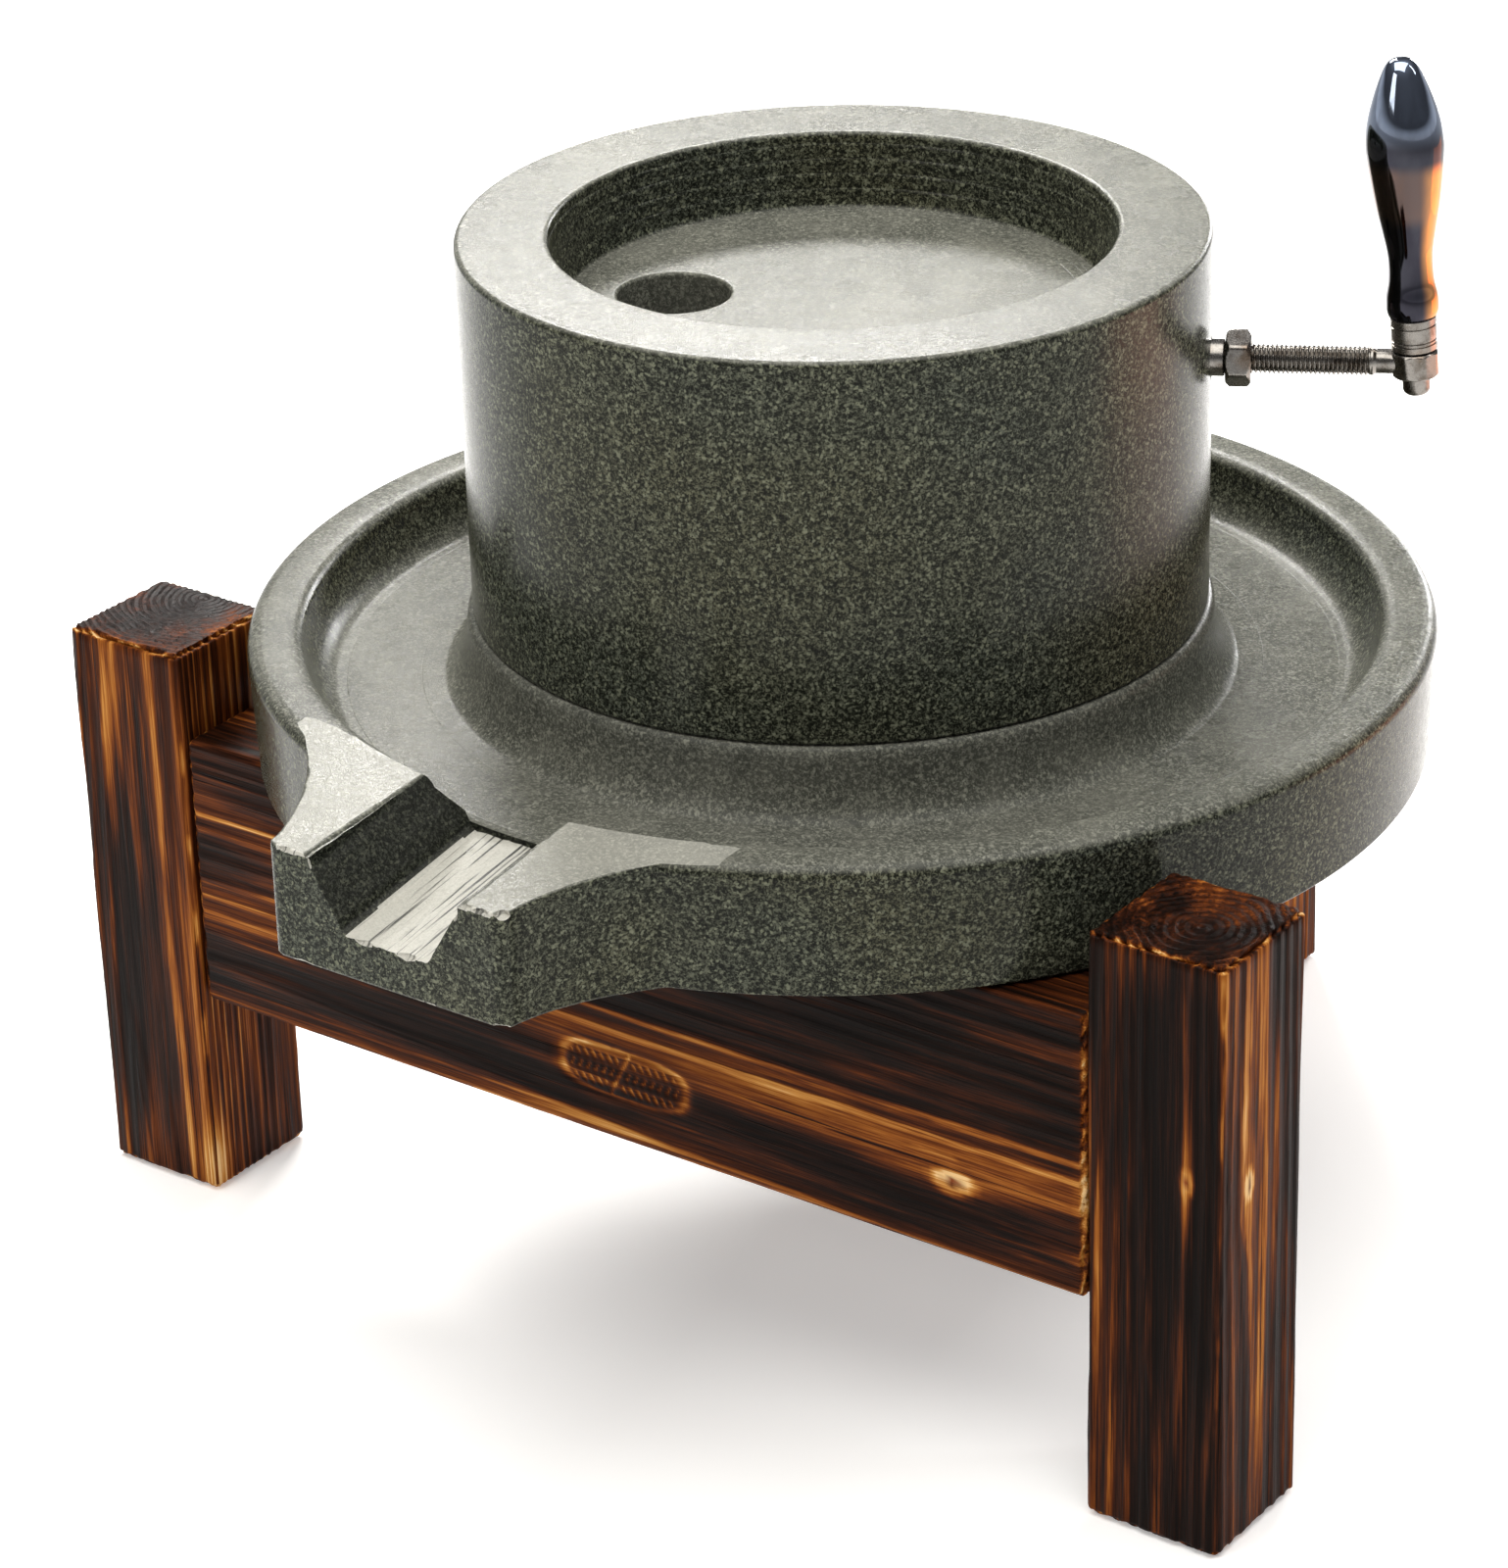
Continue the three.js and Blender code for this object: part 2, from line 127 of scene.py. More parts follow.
def bend(start, corner, end, steps):
    """Points of a smooth bend between two ends, pulled towards a corner, without its first point."""
    start, corner, end = map(np.array, (start, corner, end))
    ts = np.linspace(0, 1, steps + 1)[1:]
    return [tuple((1 - t) ** 2 * start + 2 * t * (1 - t) * corner + t * t * end) for t in ts]


def turned_lines(lines, height):
    """Fine lines turned in a flat floor, outermost first: (radius, half width, depth) in millimetres."""
    points = []
    for line in lines:
        radius, width, depth = (part * MM for part in line)
        points += [(radius + width, height), (radius, height - depth), (radius - width, height)]
    return points


def lofted(name, sections, materials=(), smooth_angle=35.0):
    """A closed solid through loops with the same number of points, capped at both ends."""
    count = len(sections[0])
    verts = [p for section in sections for p in section]
    faces = []
    for row in range(len(sections) - 1):
        for k in range(count):
            a, b = row * count + k, row * count + (k + 1) % count
            faces.append((a, b, b + count, a + count))
    faces.append(tuple(range(count))[::-1])
    faces.append(tuple(range(len(verts) - count, len(verts))))
    piece = new_object(name, verts, faces, smooth_angle, materials)
    tidy = bmesh.new()
    tidy.from_mesh(piece.data)
    bmesh.ops.recalc_face_normals(tidy, faces=tidy.faces)
    tidy.to_mesh(piece.data)
    tidy.free()
    return piece


# ---------------------------------------------------------------- helpers: smooth noise in numpy
def value_noise(points, seed):
    """Smooth noise from 0 to 1, one value for each row of an (n, 3) array; one cell to a unit."""
    cell = np.floor(points).astype(np.int64)
    part = points - cell
    part = part * part * (3 - 2 * part)
    total = np.zeros(len(points))
    for corner in range(8):
        offset = np.array([corner & 1, corner >> 1 & 1, corner >> 2 & 1])
        key = cell + offset
        mixed = key[:, 0] * 73856093 ^ key[:, 1] * 19349663 ^ key[:, 2] * 83492791 ^ seed * 2654435
        mixed = (mixed ^ mixed >> 13) * 1274126177 & 0xFFFFFFFF
        mixed = (mixed ^ mixed >> 15) * 2246822519 & 0xFFFFFFFF
        share = np.prod(np.where(offset, part, 1 - part), axis=1)
        total += share * (mixed & 0xFFFFF) / 0xFFFFF
    return total


def layered_noise(points, seed, octaves=3):
    """Value noise in octaves, each twice as fine and half as strong as the one before."""
    total, weight, sum_of_weights = np.zeros(len(points)), 1.0, 0.0
    for octave in range(octaves):
        total += weight * value_noise(points * 2.0 ** octave + 17.3 * octave, seed + octave)
        sum_of_weights += weight
        weight *= 0.5
    return total / sum_of_weights


def ramp(value, start, end):
    """0 before start, 1 after end and smooth between; start may be the larger."""
    t = np.clip((value - start) / (end - start), 0, 1)
    return t * t * (3 - 2 * t)


# ---------------------------------------------------------------- helpers: material nodes
def colour(code):
    """Linear RGBA of an sRGB hex colour."""
    parts = [int(code[i:i + 2], 16) / 255 for i in (1, 3, 5)]
    return [c / 12.92 if c <= 0.04045 else ((c + 0.055) / 1.055) ** 2.4 for c in parts] + [1.0]


def fill_ramp(node, stops):
    """Sets a colour ramp's stops from (position, linear colour) pairs in order."""
    elements = node.color_ramp.elements
    elements[0].position, elements[0].color = stops[0]
    elements[1].position, elements[1].color = stops[-1]
    for position, tint in stops[1:-1]:
        elements.new(position).color = tint


class Finish:
    """A material and short ways to add its nodes."""

    def __init__(self, name):
        self.material = bpy.data.materials.new(name)
        self.material.use_nodes = True
        self.nodes = self.material.node_tree.nodes
        self.links = self.material.node_tree.links
        self.shader = self.nodes["Principled BSDF"]

    def put(self, value, socket):
        if isinstance(value, bpy.types.NodeSocket):
            self.links.new(value, socket)
        else:
            socket.default_value = value

    def node(self, kind, settings=None, **inputs):
        made = self.nodes.new("ShaderNode" + kind)
        for key, value in (settings or {}).items():
            setattr(made, key, value)
        for key, value in inputs.items():
            self.put(value, made.inputs[key.replace("_", " ")])
        return made

    def math(self, operation, a, b, clamp=False):
        made = self.node("Math", {"operation": operation, "use_clamp": clamp})
        self.put(a, made.inputs[0])
        self.put(b, made.inputs[1])
        return made.outputs[0]

    def plus(self, a, b, clamp=False):
        return self.math("ADD", a, b, clamp)

    def times(self, a, b):
        return self.math("MULTIPLY", a, b)

    def larger(self, a, b):
        return self.math("MAXIMUM", a, b)

    def place(self):
        return self.node("TexCoord").outputs["Object"]

    def facing(self):
        return self.node("TexCoord").outputs["Normal"]

    def upward(self, vector):
        return self.node("SeparateXYZ", Vector=vector).outputs["Z"]

    def measure(self, operation, vector, other=(0.0, 0.0, 0.0)):
        """The length of a vector, or its dot product with another."""
        made = self.node("VectorMath", {"operation": operation})
        self.put(vector, made.inputs[0])
        made.inputs[1].default_value = other
        return made.outputs["Value"]

    def stretch(self, vector, scale):
        made = self.node("Mapping")
        self.put(vector, made.inputs["Vector"])
        made.inputs["Scale"].default_value = scale
        return made.outputs["Vector"]

    def noise(self, vector, scale, detail=3.0, roughness=0.55, distortion=0.0):
        made = self.node("TexNoise", Vector=vector, Scale=scale, Detail=detail,
                         Roughness=roughness, Distortion=distortion)
        return made.outputs["Fac"]

    def cells(self, vector, scale):
        """A random number for each cell of a cellular pattern."""
        cell = self.node("TexVoronoi", Vector=vector, Scale=scale).outputs["Color"]
        return self.node("SeparateColor", Color=cell).outputs["Red"]

    def remap(self, value, low, high, new_low=0.0, new_high=1.0):
        made = self.node("MapRange", {"interpolation_type": "SMOOTHSTEP"})
        for key, number in (("Value", value), ("From Min", low), ("From Max", high),
                            ("To Min", new_low), ("To Max", new_high)):
            self.put(number, made.inputs[key])
        return made.outputs["Result"]

    def mix(self, share, a, b):
        """a where share is 0 and the colour b where it is 1. Either may be a hex code."""
        made = self.node("Mix", {"data_type": "RGBA"})
        self.put(share, made.inputs[0])
        for shade, socket in ((a, made.inputs[6]), (b, made.inputs[7])):
            self.put(colour(shade) if isinstance(shade, str) else shade, socket)
        return made.outputs[2]

    def attribute(self, name, output="Fac"):
        return self.node("Attribute", {"attribute_name": name}).outputs[output]

    def bump(self, height, distance, strength=1.0):
        made = self.node("Bump", Height=height, Distance=distance, Strength=strength)
        self.links.new(made.outputs["Normal"], self.shader.inputs["Normal"])

    def set(self, **inputs):
        for key, value in inputs.items():
            self.put(value, self.shader.inputs[key.replace("_", " ")])
        return self.material


# ---------------------------------------------------------------- materials: granite
# How many cells of each noise fit in a metre.
GRANITE_CELLS = {"flecks": 900, "grit": 2300, "grains": 1150, "hollows": 520, "drift": 11, "smears": 26,
                 "streaks": 800, "polish": 300, "haze": 60}
BOSS_EDGE, BOSS_FOOT = 134 * MM, 150 * MM      # the boss's painted sheen fades out between these radii
BOSS_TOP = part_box("runner_stone")[0][2]
BOSS_SHEEN = 0.75


def granite(name, broken=False, lift=0.0, shade=0.0):
    """Green-grey granite: pale worm-like flecks on a dark ground. Its upward faces take paler colours, partly
    from honing and partly as a painted sheen of the light above.

    broken is for freshly tooled faces, lift from 0 to 1 brings a face nearer the look of the upward faces,
    and shade from 0 to 1 paints shade over the stone, darkening it, or from 0 to -1 paints a pale sheen over
    it.
    """
    f = Finish(name)
    place = f.place()
    cells = GRANITE_CELLS
    flecks = f.remap(f.noise(place, cells["flecks"], 4, 0.66, 0.9), 0.46, 0.60)
    grit = f.remap(f.noise(place, cells["grit"], 2, 0.5), 0.45, 0.66)
    grains = f.remap(f.cells(place, cells["grains"]), 0.86, 0.93)
    hollows = f.remap(f.noise(place, cells["hollows"], 3, 0.6, 0.6), 0.49, 0.38)
    drift = f.remap(f.noise(place, cells["drift"], 2, 0.5), 0.35, 0.68)

    if broken:
        streaks = f.noise(f.stretch(place, (1.0, 0.02, 0.1)), cells["streaks"], 3, 0.6, 0.0)
        face = f.mix(f.remap(streaks, 0.36, 0.46), "#23231f", "#bbb9af")
        face = f.mix(f.times(flecks, 0.25), face, "#7d7d72")
        f.bump(f.plus(streaks, f.times(grit, 0.3)), 0.4 * MM, 0.8)
        return f.set(Base_Color=face, Roughness=f.remap(streaks, 0.3, 0.7, 0.38, 0.65))

    sides = f.mix(flecks, f.mix(drift, "#10130f", "#151610"), f.mix(drift, "#5a5e52", "#62624e"))
    sides = f.mix(f.times(grit, 0.35), sides, "#484a3e")
    sides = f.mix(f.times(grains, 0.6), sides, "#81846f")
    sides = f.mix(f.times(hollows, 0.6), sides, "#0a0c08")

    smears = f.remap(f.noise(place, cells["smears"], 4, 0.65, 0.4), 0.42, 0.66)
    # Paler colours for the upward faces: honing together with a painted sheen of the overhead light.
    tops = f.mix(flecks, "#50514a", "#7b7b71")
    tops = f.mix(f.times(grains, 0.5), tops, "#9c9c8f")
    tops = f.mix(f.times(hollows, 0.4), tops, "#383a34")
    tops = f.mix(f.times(smears, 0.25), tops, "#8a897e")

    facing_up = f.upward(f.facing())
    from_axis = f.measure("LENGTH", f.stretch(place, (1.0, 1.0, 0.0)))
    # Painted sheen on the boss and the tray floor round it, where the runner shades them.
    boss = f.times(f.remap(f.upward(place), BOSS_TOP, BOSS_TOP - 0.4 * MM),
                   f.remap(from_axis, BOSS_FOOT, BOSS_EDGE, 0.0, BOSS_SHEEN))
    # How far the paler colours reach: full on upward faces (honing and painted sheen), fading over fillets
    # and rounded edges (painted sheen), and on the boss (painted sheen).
    honed_and_sheen = f.larger(f.larger(f.remap(facing_up, 0.35, 0.97), lift), boss)
    f.bump(f.plus(flecks, f.times(grit, 0.4)), 0.05 * MM, f.remap(honed_and_sheen, 0, 1, 0.2, 0.7))
    rough = f.node("Mix", {"data_type": "FLOAT"})
    f.put(f.larger(f.remap(facing_up, 0.84, 0.985), lift), rough.inputs[0])
    f.put(f.remap(f.noise(place, cells["polish"], 3, 0.6), 0.3, 0.7, 0.14, 0.22), rough.inputs[2])
    f.put(f.remap(f.noise(place, cells["haze"], 4, 0.6), 0.3, 0.7, 0.22, 0.31), rough.inputs[3])
    # Over all of it, a positive shade paints shade towards near black, and a negative one paints a pale sheen
    # towards off-white.
    stone = f.mix(abs(shade), f.mix(honed_and_sheen, sides, tops), "#0a0b08" if shade > 0 else "#eceadf")
    return f.set(Base_Color=stone, Roughness=rough.outputs[0], Specular_IOR_Level=0.1)


# ---------------------------------------------------------------- materials: charred wood
ALONG_GRAIN = 0.02             # how much a pattern is drawn out along the grain
WOOD_TONES = ((0.0, "#0b0503"), (0.14, "#1a0b05"), (0.30, "#3a1a0a"), (0.46, "#643110"),
              (0.62, "#91541f"), (0.82, "#bd8440"), (1.0, "#e2bd86"))


def charred_wood(name):
    """Brushed and charred pine, from black through rust to pale straw along one scale of tone.

    The ring number, char, pale wear, knot hearts and the rings' contrast are attributes of the mesh.
    """
    f = Finish(name)
    grain = f.attribute("grain", "Vector")
    fibre = f.noise(f.stretch(grain, (ALONG_GRAIN, 1.0, 1.0)), 1500, 4, 0.7)
    strand = f.noise(f.stretch(grain, (ALONG_GRAIN, 1.0, 1.0)), 480, 3, 0.6)
    ring = f.plus(f.attribute("ring"), f.times(strand, 0.45))
    phase = f.math("FRACT", ring, 0.0)
    number = f.math("FLOOR", ring, 0.0)
    luck = f.node("TexWhiteNoise", {"noise_dimensions": "1D"}, W=number).outputs["Value"]
    line = f.times(f.remap(phase, f.remap(luck, 0, 1, 0.1, 0.5), 0.80), f.remap(phase, 1.0, 0.88))
    line = f.times(line, f.remap(luck, 0, 1, 0.45, 1.0))
    line = f.times(line, f.attribute("contrast"))

    patch = f.remap(f.noise(f.stretch(grain, (0.10, 1.0, 1.0)), 60, 4, 0.6, 0.2), 0.3, 0.7, -0.5, 0.5)
    heat = f.math("SUBTRACT", 1.0, f.plus(f.attribute("char"), f.times(patch, 0.55)), True)
    tone = f.plus(f.times(heat, 0.50), 0.03)
    tone = f.plus(tone, f.times(line, f.remap(heat, 0.0, 0.6, 0.08, 0.38)))
    tone = f.plus(tone, f.remap(fibre, 0.3, 0.7, -0.11, 0.11))
    tone = f.plus(tone, f.remap(strand, 0.3, 0.7, -0.09, 0.09))
    cracks = f.remap(f.noise(f.stretch(grain, (0.012, 1.0, 1.0)), 640, 2, 0.6, 0.05), 0.36, 0.28)
    tone = f.math("SUBTRACT", tone, f.times(cracks, 0.35))
    pale = f.times(f.attribute("pale"), f.remap(strand, 0.25, 0.6, 0.6, 1.0))
    tone = f.plus(tone, f.times(pale, 0.62), True)

    scale = f.node("ValToRGB", Fac=tone)
    fill_ramp(scale, [(position, colour(code)) for position, code in WOOD_TONES])
    heart = f.mix(f.remap(strand, 0.35, 0.65), "#2a0f08", "#7a3a1b")
    wood = f.mix(f.attribute("knot"), scale.outputs["Color"], heart)
    relief = f.plus(f.times(fibre, 0.5), f.plus(line, f.times(strand, 0.5)))
    f.bump(f.math("SUBTRACT", relief, cracks), 0.35 * MM, 0.8)
    return f.set(Base_Color=wood, Roughness=f.remap(tone, 0.05, 0.7, 0.38, 0.60),
                 Specular_IOR_Level=0.05)


# ---------------------------------------------------------------- materials: metals and floor
def steel(name):
    """Dull plated steel, finely turned, with patches of grey dirt and a few warm stains."""
    f = Finish(name)
    place = f.place()
    stain = f.noise(place, 190, 4, 0.6)
    fine = f.noise(place, 2600, 3, 0.6)
    tone = f.mix(f.remap(stain, 0.40, 0.70), "#8d8984", "#625b54")
    tone = f.mix(f.remap(f.noise(place, 70, 2, 0.5), 0.60, 0.74, 0.0, 0.25), tone, "#8a6a48")
    f.bump(fine, 0.03 * MM, 0.6)
    return f.set(Base_Color=tone, Metallic=1.0, Roughness=f.remap(fine, 0.3, 0.7, 0.16, 0.34))


def chrome(name):
    """Chrome with faint wipe marks. Its base colour holds painted reflections that stand in for a dim brown
    room, which the studio lacks: dark at the foot, brown below the middle, a dark band, a pale blue-white
    highlight near the top and an amber glint on its right side.
    """
    f = Finish(name)
    place = f.place()
    wipe = f.noise(f.stretch(place, (1.0, 1.0, 0.3)), 160, 4, 0.6, 0.4)
    low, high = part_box("handle_grip")
    height = f.remap(f.upward(place), low.z, high.z)
    to_right = f.measure("DOT_PRODUCT", f.facing(), (0.81, 0.58, 0.0))
    # A painted amber reflection on the lower part, where the grip faces right.
    amber_reflection = f.times(f.remap(to_right, 0.25, 0.75), f.remap(height, 0.70, 0.60))
    # Painted reflections by height: dark at the foot, brown below the middle, a dark band above, then a pale
    # blue-white highlight near the top.
    tone = f.mix(f.remap(height, 0.30, 0.40), "#33323a", "#5c4b45")
    tone = f.mix(f.remap(height, 0.62, 0.70), tone, "#34343c")
    tone = f.mix(f.remap(height, 0.76, 0.90), tone, "#8f9aad")
    tone = f.mix(amber_reflection, tone, "#c98a50")
    tone = f.mix(f.times(f.remap(wipe, 0.35, 0.7), 0.3), tone, "#4a4c52")
    f.bump(wipe, 0.02 * MM, 0.25)
    return f.set(Base_Color=tone, Metallic=1.0, Roughness=f.remap(wipe, 0.3, 0.75, 0.035, 0.12))


def paper(name):
    """White paper, slightly uneven, with a faint glow that keeps it clean."""
    f = Finish(name)
    tint = f.noise(f.place(), 1.5, 2, 0.5)
    return f.set(Base_Color=f.mix(tint, "#f7f7f5", "#fbfbfa"), Roughness=0.8,
                 Emission_Color=colour("#ffffff"), Emission_Strength=0.30)


GRANITE = granite("granite")
BROKEN_GRANITE = granite("granite_tooled", broken=True)
DRILLED_GRANITE = granite("granite_drilled", lift=0.8)
# The channel's walls: granite with painted shade over it, for the shade they lie in.
SHADED_WALL_GRANITE = granite("granite_painted_shade", shade=0.6)
# The tray: granite with a little painted shade over it.
TRAY_GRANITE = granite("granite_tray", shade=0.12)
# The spout's shoulder tops: granite with a painted pale sheen.
PALE_SHEEN_GRANITE = granite("granite_painted_sheen", shade=-0.2)
CHARRED_WOOD = charred_wood("charred_wood")
STEEL = steel("steel_bright")
CHROME = chrome("chrome_polished")


# ---------------------------------------------------------------- stones
STONE_SEGMENTS = 240
TRAY_RADIUS, TRAY_BOTTOM_RADIUS = 201.9 * MM, 200.3 * MM
RIM_HEIGHT, RIM_INNER_RADIUS = 45.7 * MM, 182.6 * MM
RIM_OUTER_ROUND, RIM_INNER_ROUND = 4.5 * MM, 5 * MM
TRAY_FLOOR_HEIGHT, TRAY_FLOOR_RADIUS = 26.1 * MM, 171 * MM
BOSS_BASE_RADIUS, BOSS_RADIUS, BOSS_HEIGHT = 134 * MM, 126.6 * MM, 50.1 * MM
SPOUT_X, SPOUT_TIP = -5.6 * MM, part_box("lower_stone")[0].y
SPOUT_HALF_WIDTH, SPOUT_ROOT_HALF_WIDTH = 47.5 * MM, 88 * MM
SPOUT_ROOT_Y, SPOUT_CORNER = -173 * MM, 5 * MM
SPOUT_FLARE = (54 * MM, -203 * MM)
CREASE_Y, SHOULDER_DROP = -170 * MM, 6.2 * MM
CHANNEL_TOP, CHANNEL_FOOT, CHANNEL_FLOOR = 29.5 * MM, 19 * MM, 15.5 * MM
CHANNEL_INNER_Y, CHANNEL_INNER_HEIGHT, CHANNEL_LIP_HEIGHT = -173 * MM, 24.6 * MM, 15 * MM
CHANNEL_FOOT_HEIGHT = 4 * MM
SHOULDER_SLOPE = SHOULDER_DROP / (CREASE_Y - SPOUT_TIP)
CHANNEL_FALL = (CHANNEL_INNER_HEIGHT - CHANNEL_LIP_HEIGHT) / (CHANNEL_INNER_Y - SPOUT_TIP)
RUNNER_RADIUS, RUNNER_TOP, RUNNER_FOOT, RUNNER_EDGE = 125 * MM, 180.9 * MM, 50.5 * MM, 2 * MM
HOPPER_RADIUS, HOPPER_FLOOR_RADIUS, HOPPER_FLOOR_HEIGHT = 93.8 * MM, 90.6 * MM, 154.8 * MM
TRAY_LINES = ((169, 0.4, 0.12), (143.5, 0.35, 0.10))
HOPPER_LINES = ((87.6, 0.4, 0.25), (85.4, 0.35, 0.15), (81.5, 0.35, 0.15))
FEED_HOLE_RADIUS, FEED_HOLE_OFFSET, FEED_HOLE_BEARING = 19 * MM, 54.2 * MM, math.radians(-155)


def tray_profile():
    """(radius, height) from the middle of the tray's underside, round its rim, to the top of the boss."""
    outer, inner, foot = RIM_OUTER_ROUND, RIM_INNER_ROUND, 1.5 * MM
    crown, flank = 0.35 * MM, 0.08 * MM        # how far the rim's rounds and its flanks lie below its crest
    floor = TRAY_FLOOR_HEIGHT
    middle = (TRAY_RADIUS - outer + RIM_INNER_RADIUS + inner) / 2
    return [
        (0, 0), (100 * MM, 0),
        *arc((TRAY_BOTTOM_RADIUS - foot, foot), foot, -90, 0, 4),
        *arc((TRAY_RADIUS - outer, RIM_HEIGHT - crown - outer), outer, 0, 88, 9),
        (middle + 4 * MM, RIM_HEIGHT - flank),
        (middle, RIM_HEIGHT),
        (middle - 4 * MM, RIM_HEIGHT - flank),
        *arc((RIM_INNER_RADIUS + inner, RIM_HEIGHT - crown - inner), inner, 92, 180, 8),
        *bend((RIM_INNER_RADIUS, RIM_HEIGHT - crown - inner), (TRAY_FLOOR_RADIUS + 6 * MM, floor),
              (TRAY_FLOOR_RADIUS, floor), 10),
        *turned_lines(TRAY_LINES, floor),
        (BOSS_BASE_RADIUS + 2 * MM, floor),
        *bend((BOSS_BASE_RADIUS + 2 * MM, floor), (BOSS_RADIUS + 1 * MM, floor + 2.5 * MM),
              (BOSS_RADIUS + 0.3 * MM, BOSS_HEIGHT - 3 * MM), 12),
        *arc((BOSS_RADIUS - 2.5 * MM, BOSS_HEIGHT - 2.5 * MM), 2.5 * MM, 5, 90, 6),
        (0, BOSS_HEIGHT),
    ]


def shoulder_height(y):
    """The height of the spout's sloping top."""
    return RIM_HEIGHT - SHOULDER_SLOPE * max(0.0, CREASE_Y - y)


def channel_height(y):
    """The height of the channel's sloping floor."""
    return CHANNEL_INNER_HEIGHT - CHANNEL_FALL * (CHANNEL_INNER_Y - y)


def spout_side(steps=22):
    """One side of the spout in plan, (half width, y), from its root to the middle of its tip."""
    tip = SPOUT_TIP
    return [
        (SPOUT_ROOT_HALF_WIDTH, SPOUT_ROOT_Y),
        *bend((SPOUT_ROOT_HALF_WIDTH, SPOUT_ROOT_Y), SPOUT_FLARE,
              (SPOUT_HALF_WIDTH, tip + SPOUT_CORNER), steps),
        *bend((SPOUT_HALF_WIDTH, tip + SPOUT_CORNER), (SPOUT_HALF_WIDTH, tip),
              (SPOUT_HALF_WIDTH - SPOUT_CORNER, tip), 6),
    ]


def spout_block():
    """The spout before it is cut: its outline in plan, raised to the rim, with a rounded bottom edge."""
    side = spout_side()
    plan = side + [(-x, y) for x, y in reversed(side)]
    foot = 1.2 * MM
    levels = [(foot, 0), (0.35 * foot, 0.35 * foot), (0, foot),
              (0, 0.5 * RIM_HEIGHT), (0, RIM_HEIGHT - 0.1 * MM)]
    sections = []
    for inset, height in levels:
        shrink = 1 - inset / SPOUT_HALF_WIDTH
        sections.append([(x * shrink + SPOUT_X, y + (inset if y < SPOUT_ROOT_Y - 30 * MM else 0), height)
                         for x, y in plan])
    return lofted("spout", sections, [GRANITE])


def basin_block():
    """The tray's hollow, which the spout must not fill."""
    floor, top = TRAY_FLOOR_HEIGHT, RIM_HEIGHT + 1 * MM
    profile = [(0, floor), (TRAY_FLOOR_RADIUS, floor),
               (RIM_INNER_RADIUS + 0.5 * MM, RIM_HEIGHT - RIM_INNER_ROUND),
               (RIM_INNER_RADIUS + RIM_INNER_ROUND, top), (0, top)]
    return turned("basin", profile, STONE_SEGMENTS, materials=[GRANITE])


def shoulder_cutter():
    """All that lies above the spout's sloping top."""
    reach, height = SPOUT_TIP - 6 * MM, RIM_HEIGHT + 20 * MM
    half = SPOUT_ROOT_HALF_WIDTH
    sections = []
    for x in (-half + SPOUT_X, half + SPOUT_X):
        sections.append([(x, CREASE_Y, RIM_HEIGHT), (x, CREASE_Y, height),
                         (x, reach, height), (x, reach, shoulder_height(reach))])
    # Its cut leaves the spout's shoulder tops, in granite with a painted pale sheen.
    return lofted("shoulders", sections, [PALE_SHEEN_GRANITE])


def channel_cutter():
    """The open channel with long uneven tool marks on its floor and fainter ones on its walls."""
    rows = np.linspace(CHANNEL_INNER_Y, SPOUT_TIP - 5 * MM, 90)
    floor = [(x, 0.0) for x in np.linspace(-CHANNEL_FLOOR, CHANNEL_FLOOR, 56)]
    top = 45 * MM
    wall_height = RIM_HEIGHT - CHANNEL_INNER_HEIGHT
    wall = [(CHANNEL_FLOOR + (CHANNEL_FOOT - CHANNEL_FLOOR) * t, CHANNEL_FOOT_HEIGHT * t * t)
            for t in np.linspace(0, 1, 8)[1:]]
    wall += [(CHANNEL_FOOT + (CHANNEL_TOP - CHANNEL_FOOT) * t,
              CHANNEL_FOOT_HEIGHT + (wall_height - CHANNEL_FOOT_HEIGHT) * t)
             for t in np.linspace(0, 1, 14)[1:]]
    wall.append((CHANNEL_TOP + 4 * MM, top))
    section = floor + wall + [(-x, z) for x, z in reversed(wall)]
    points = np.array([(x, y, z) for y in rows for x, z in section])
    marks = layered_noise(points / (1.3 * MM, 45 * MM, 1.6 * MM), 5, 3) - 0.5
    dents = layered_noise(points / (2.6 * MM, 9 * MM, 3 * MM), 9, 2) - 0.5
    rough = (0.7 * marks + 0.2 * dents) * MM
    on_floor = points[:, 2] < 0.5 * MM
    below_top = points[:, 2] < wall_height
    points[:, 2] += np.where(on_floor, rough, 0)
    points[:, 0] += np.where(~on_floor & below_top, 0.35 * rough * np.sign(points[:, 0]), 0)
    points[:, 0] += SPOUT_X
    points[:, 2] += [channel_height(y) for y in points[:, 1]]
    count = len(section)
    sections = [[tuple(p) for p in points[i:i + count]] for i in range(0, len(points), count)]
    # The channel's walls take granite with painted shade; its floor takes tooled granite.
    cutter = lofted("channel", sections, [SHADED_WALL_GRANITE, BROKEN_GRANITE])
    for face in cutter.data.polygons:
        if face.normal.z < -0.75:
            face.material_index = 1
    return cutter


def edge_cutter(name, corners, along_top, along_wall, radii, material):
    """Rounds an edge: corners are its points, and the two directions lead away from it on its faces."""
    spare = 2.5 * MM
    sections = []
    for corner, top, wall, radius in zip(corners, along_top, along_wall, radii):
        corner, top, wall = Vector(corner), Vector(top).normalized(), Vector(wall).normalized()
        loop = []
        for t in np.linspace(0, 1, 5):
            loop.append(corner + top * radius * (1 - t) ** 2 + wall * radius * t * t)
        loop.append(corner + wall * radius - top * spare)
        loop.append(corner - (top + wall) * spare)
        loop.append(corner + top * radius - wall * spare)
        sections.append([tuple(p) for p in loop])
    return lofted(name, sections, [material])


def worn_radii(count, usual, spread, seed):
    """How deeply an edge is worn at each of count points along it."""
    line = np.stack([np.arange(count) * 0.45, np.zeros(count), np.zeros(count)], 1)
    return usual + spread * (layered_noise(line, seed, 3) - 0.4) * 2


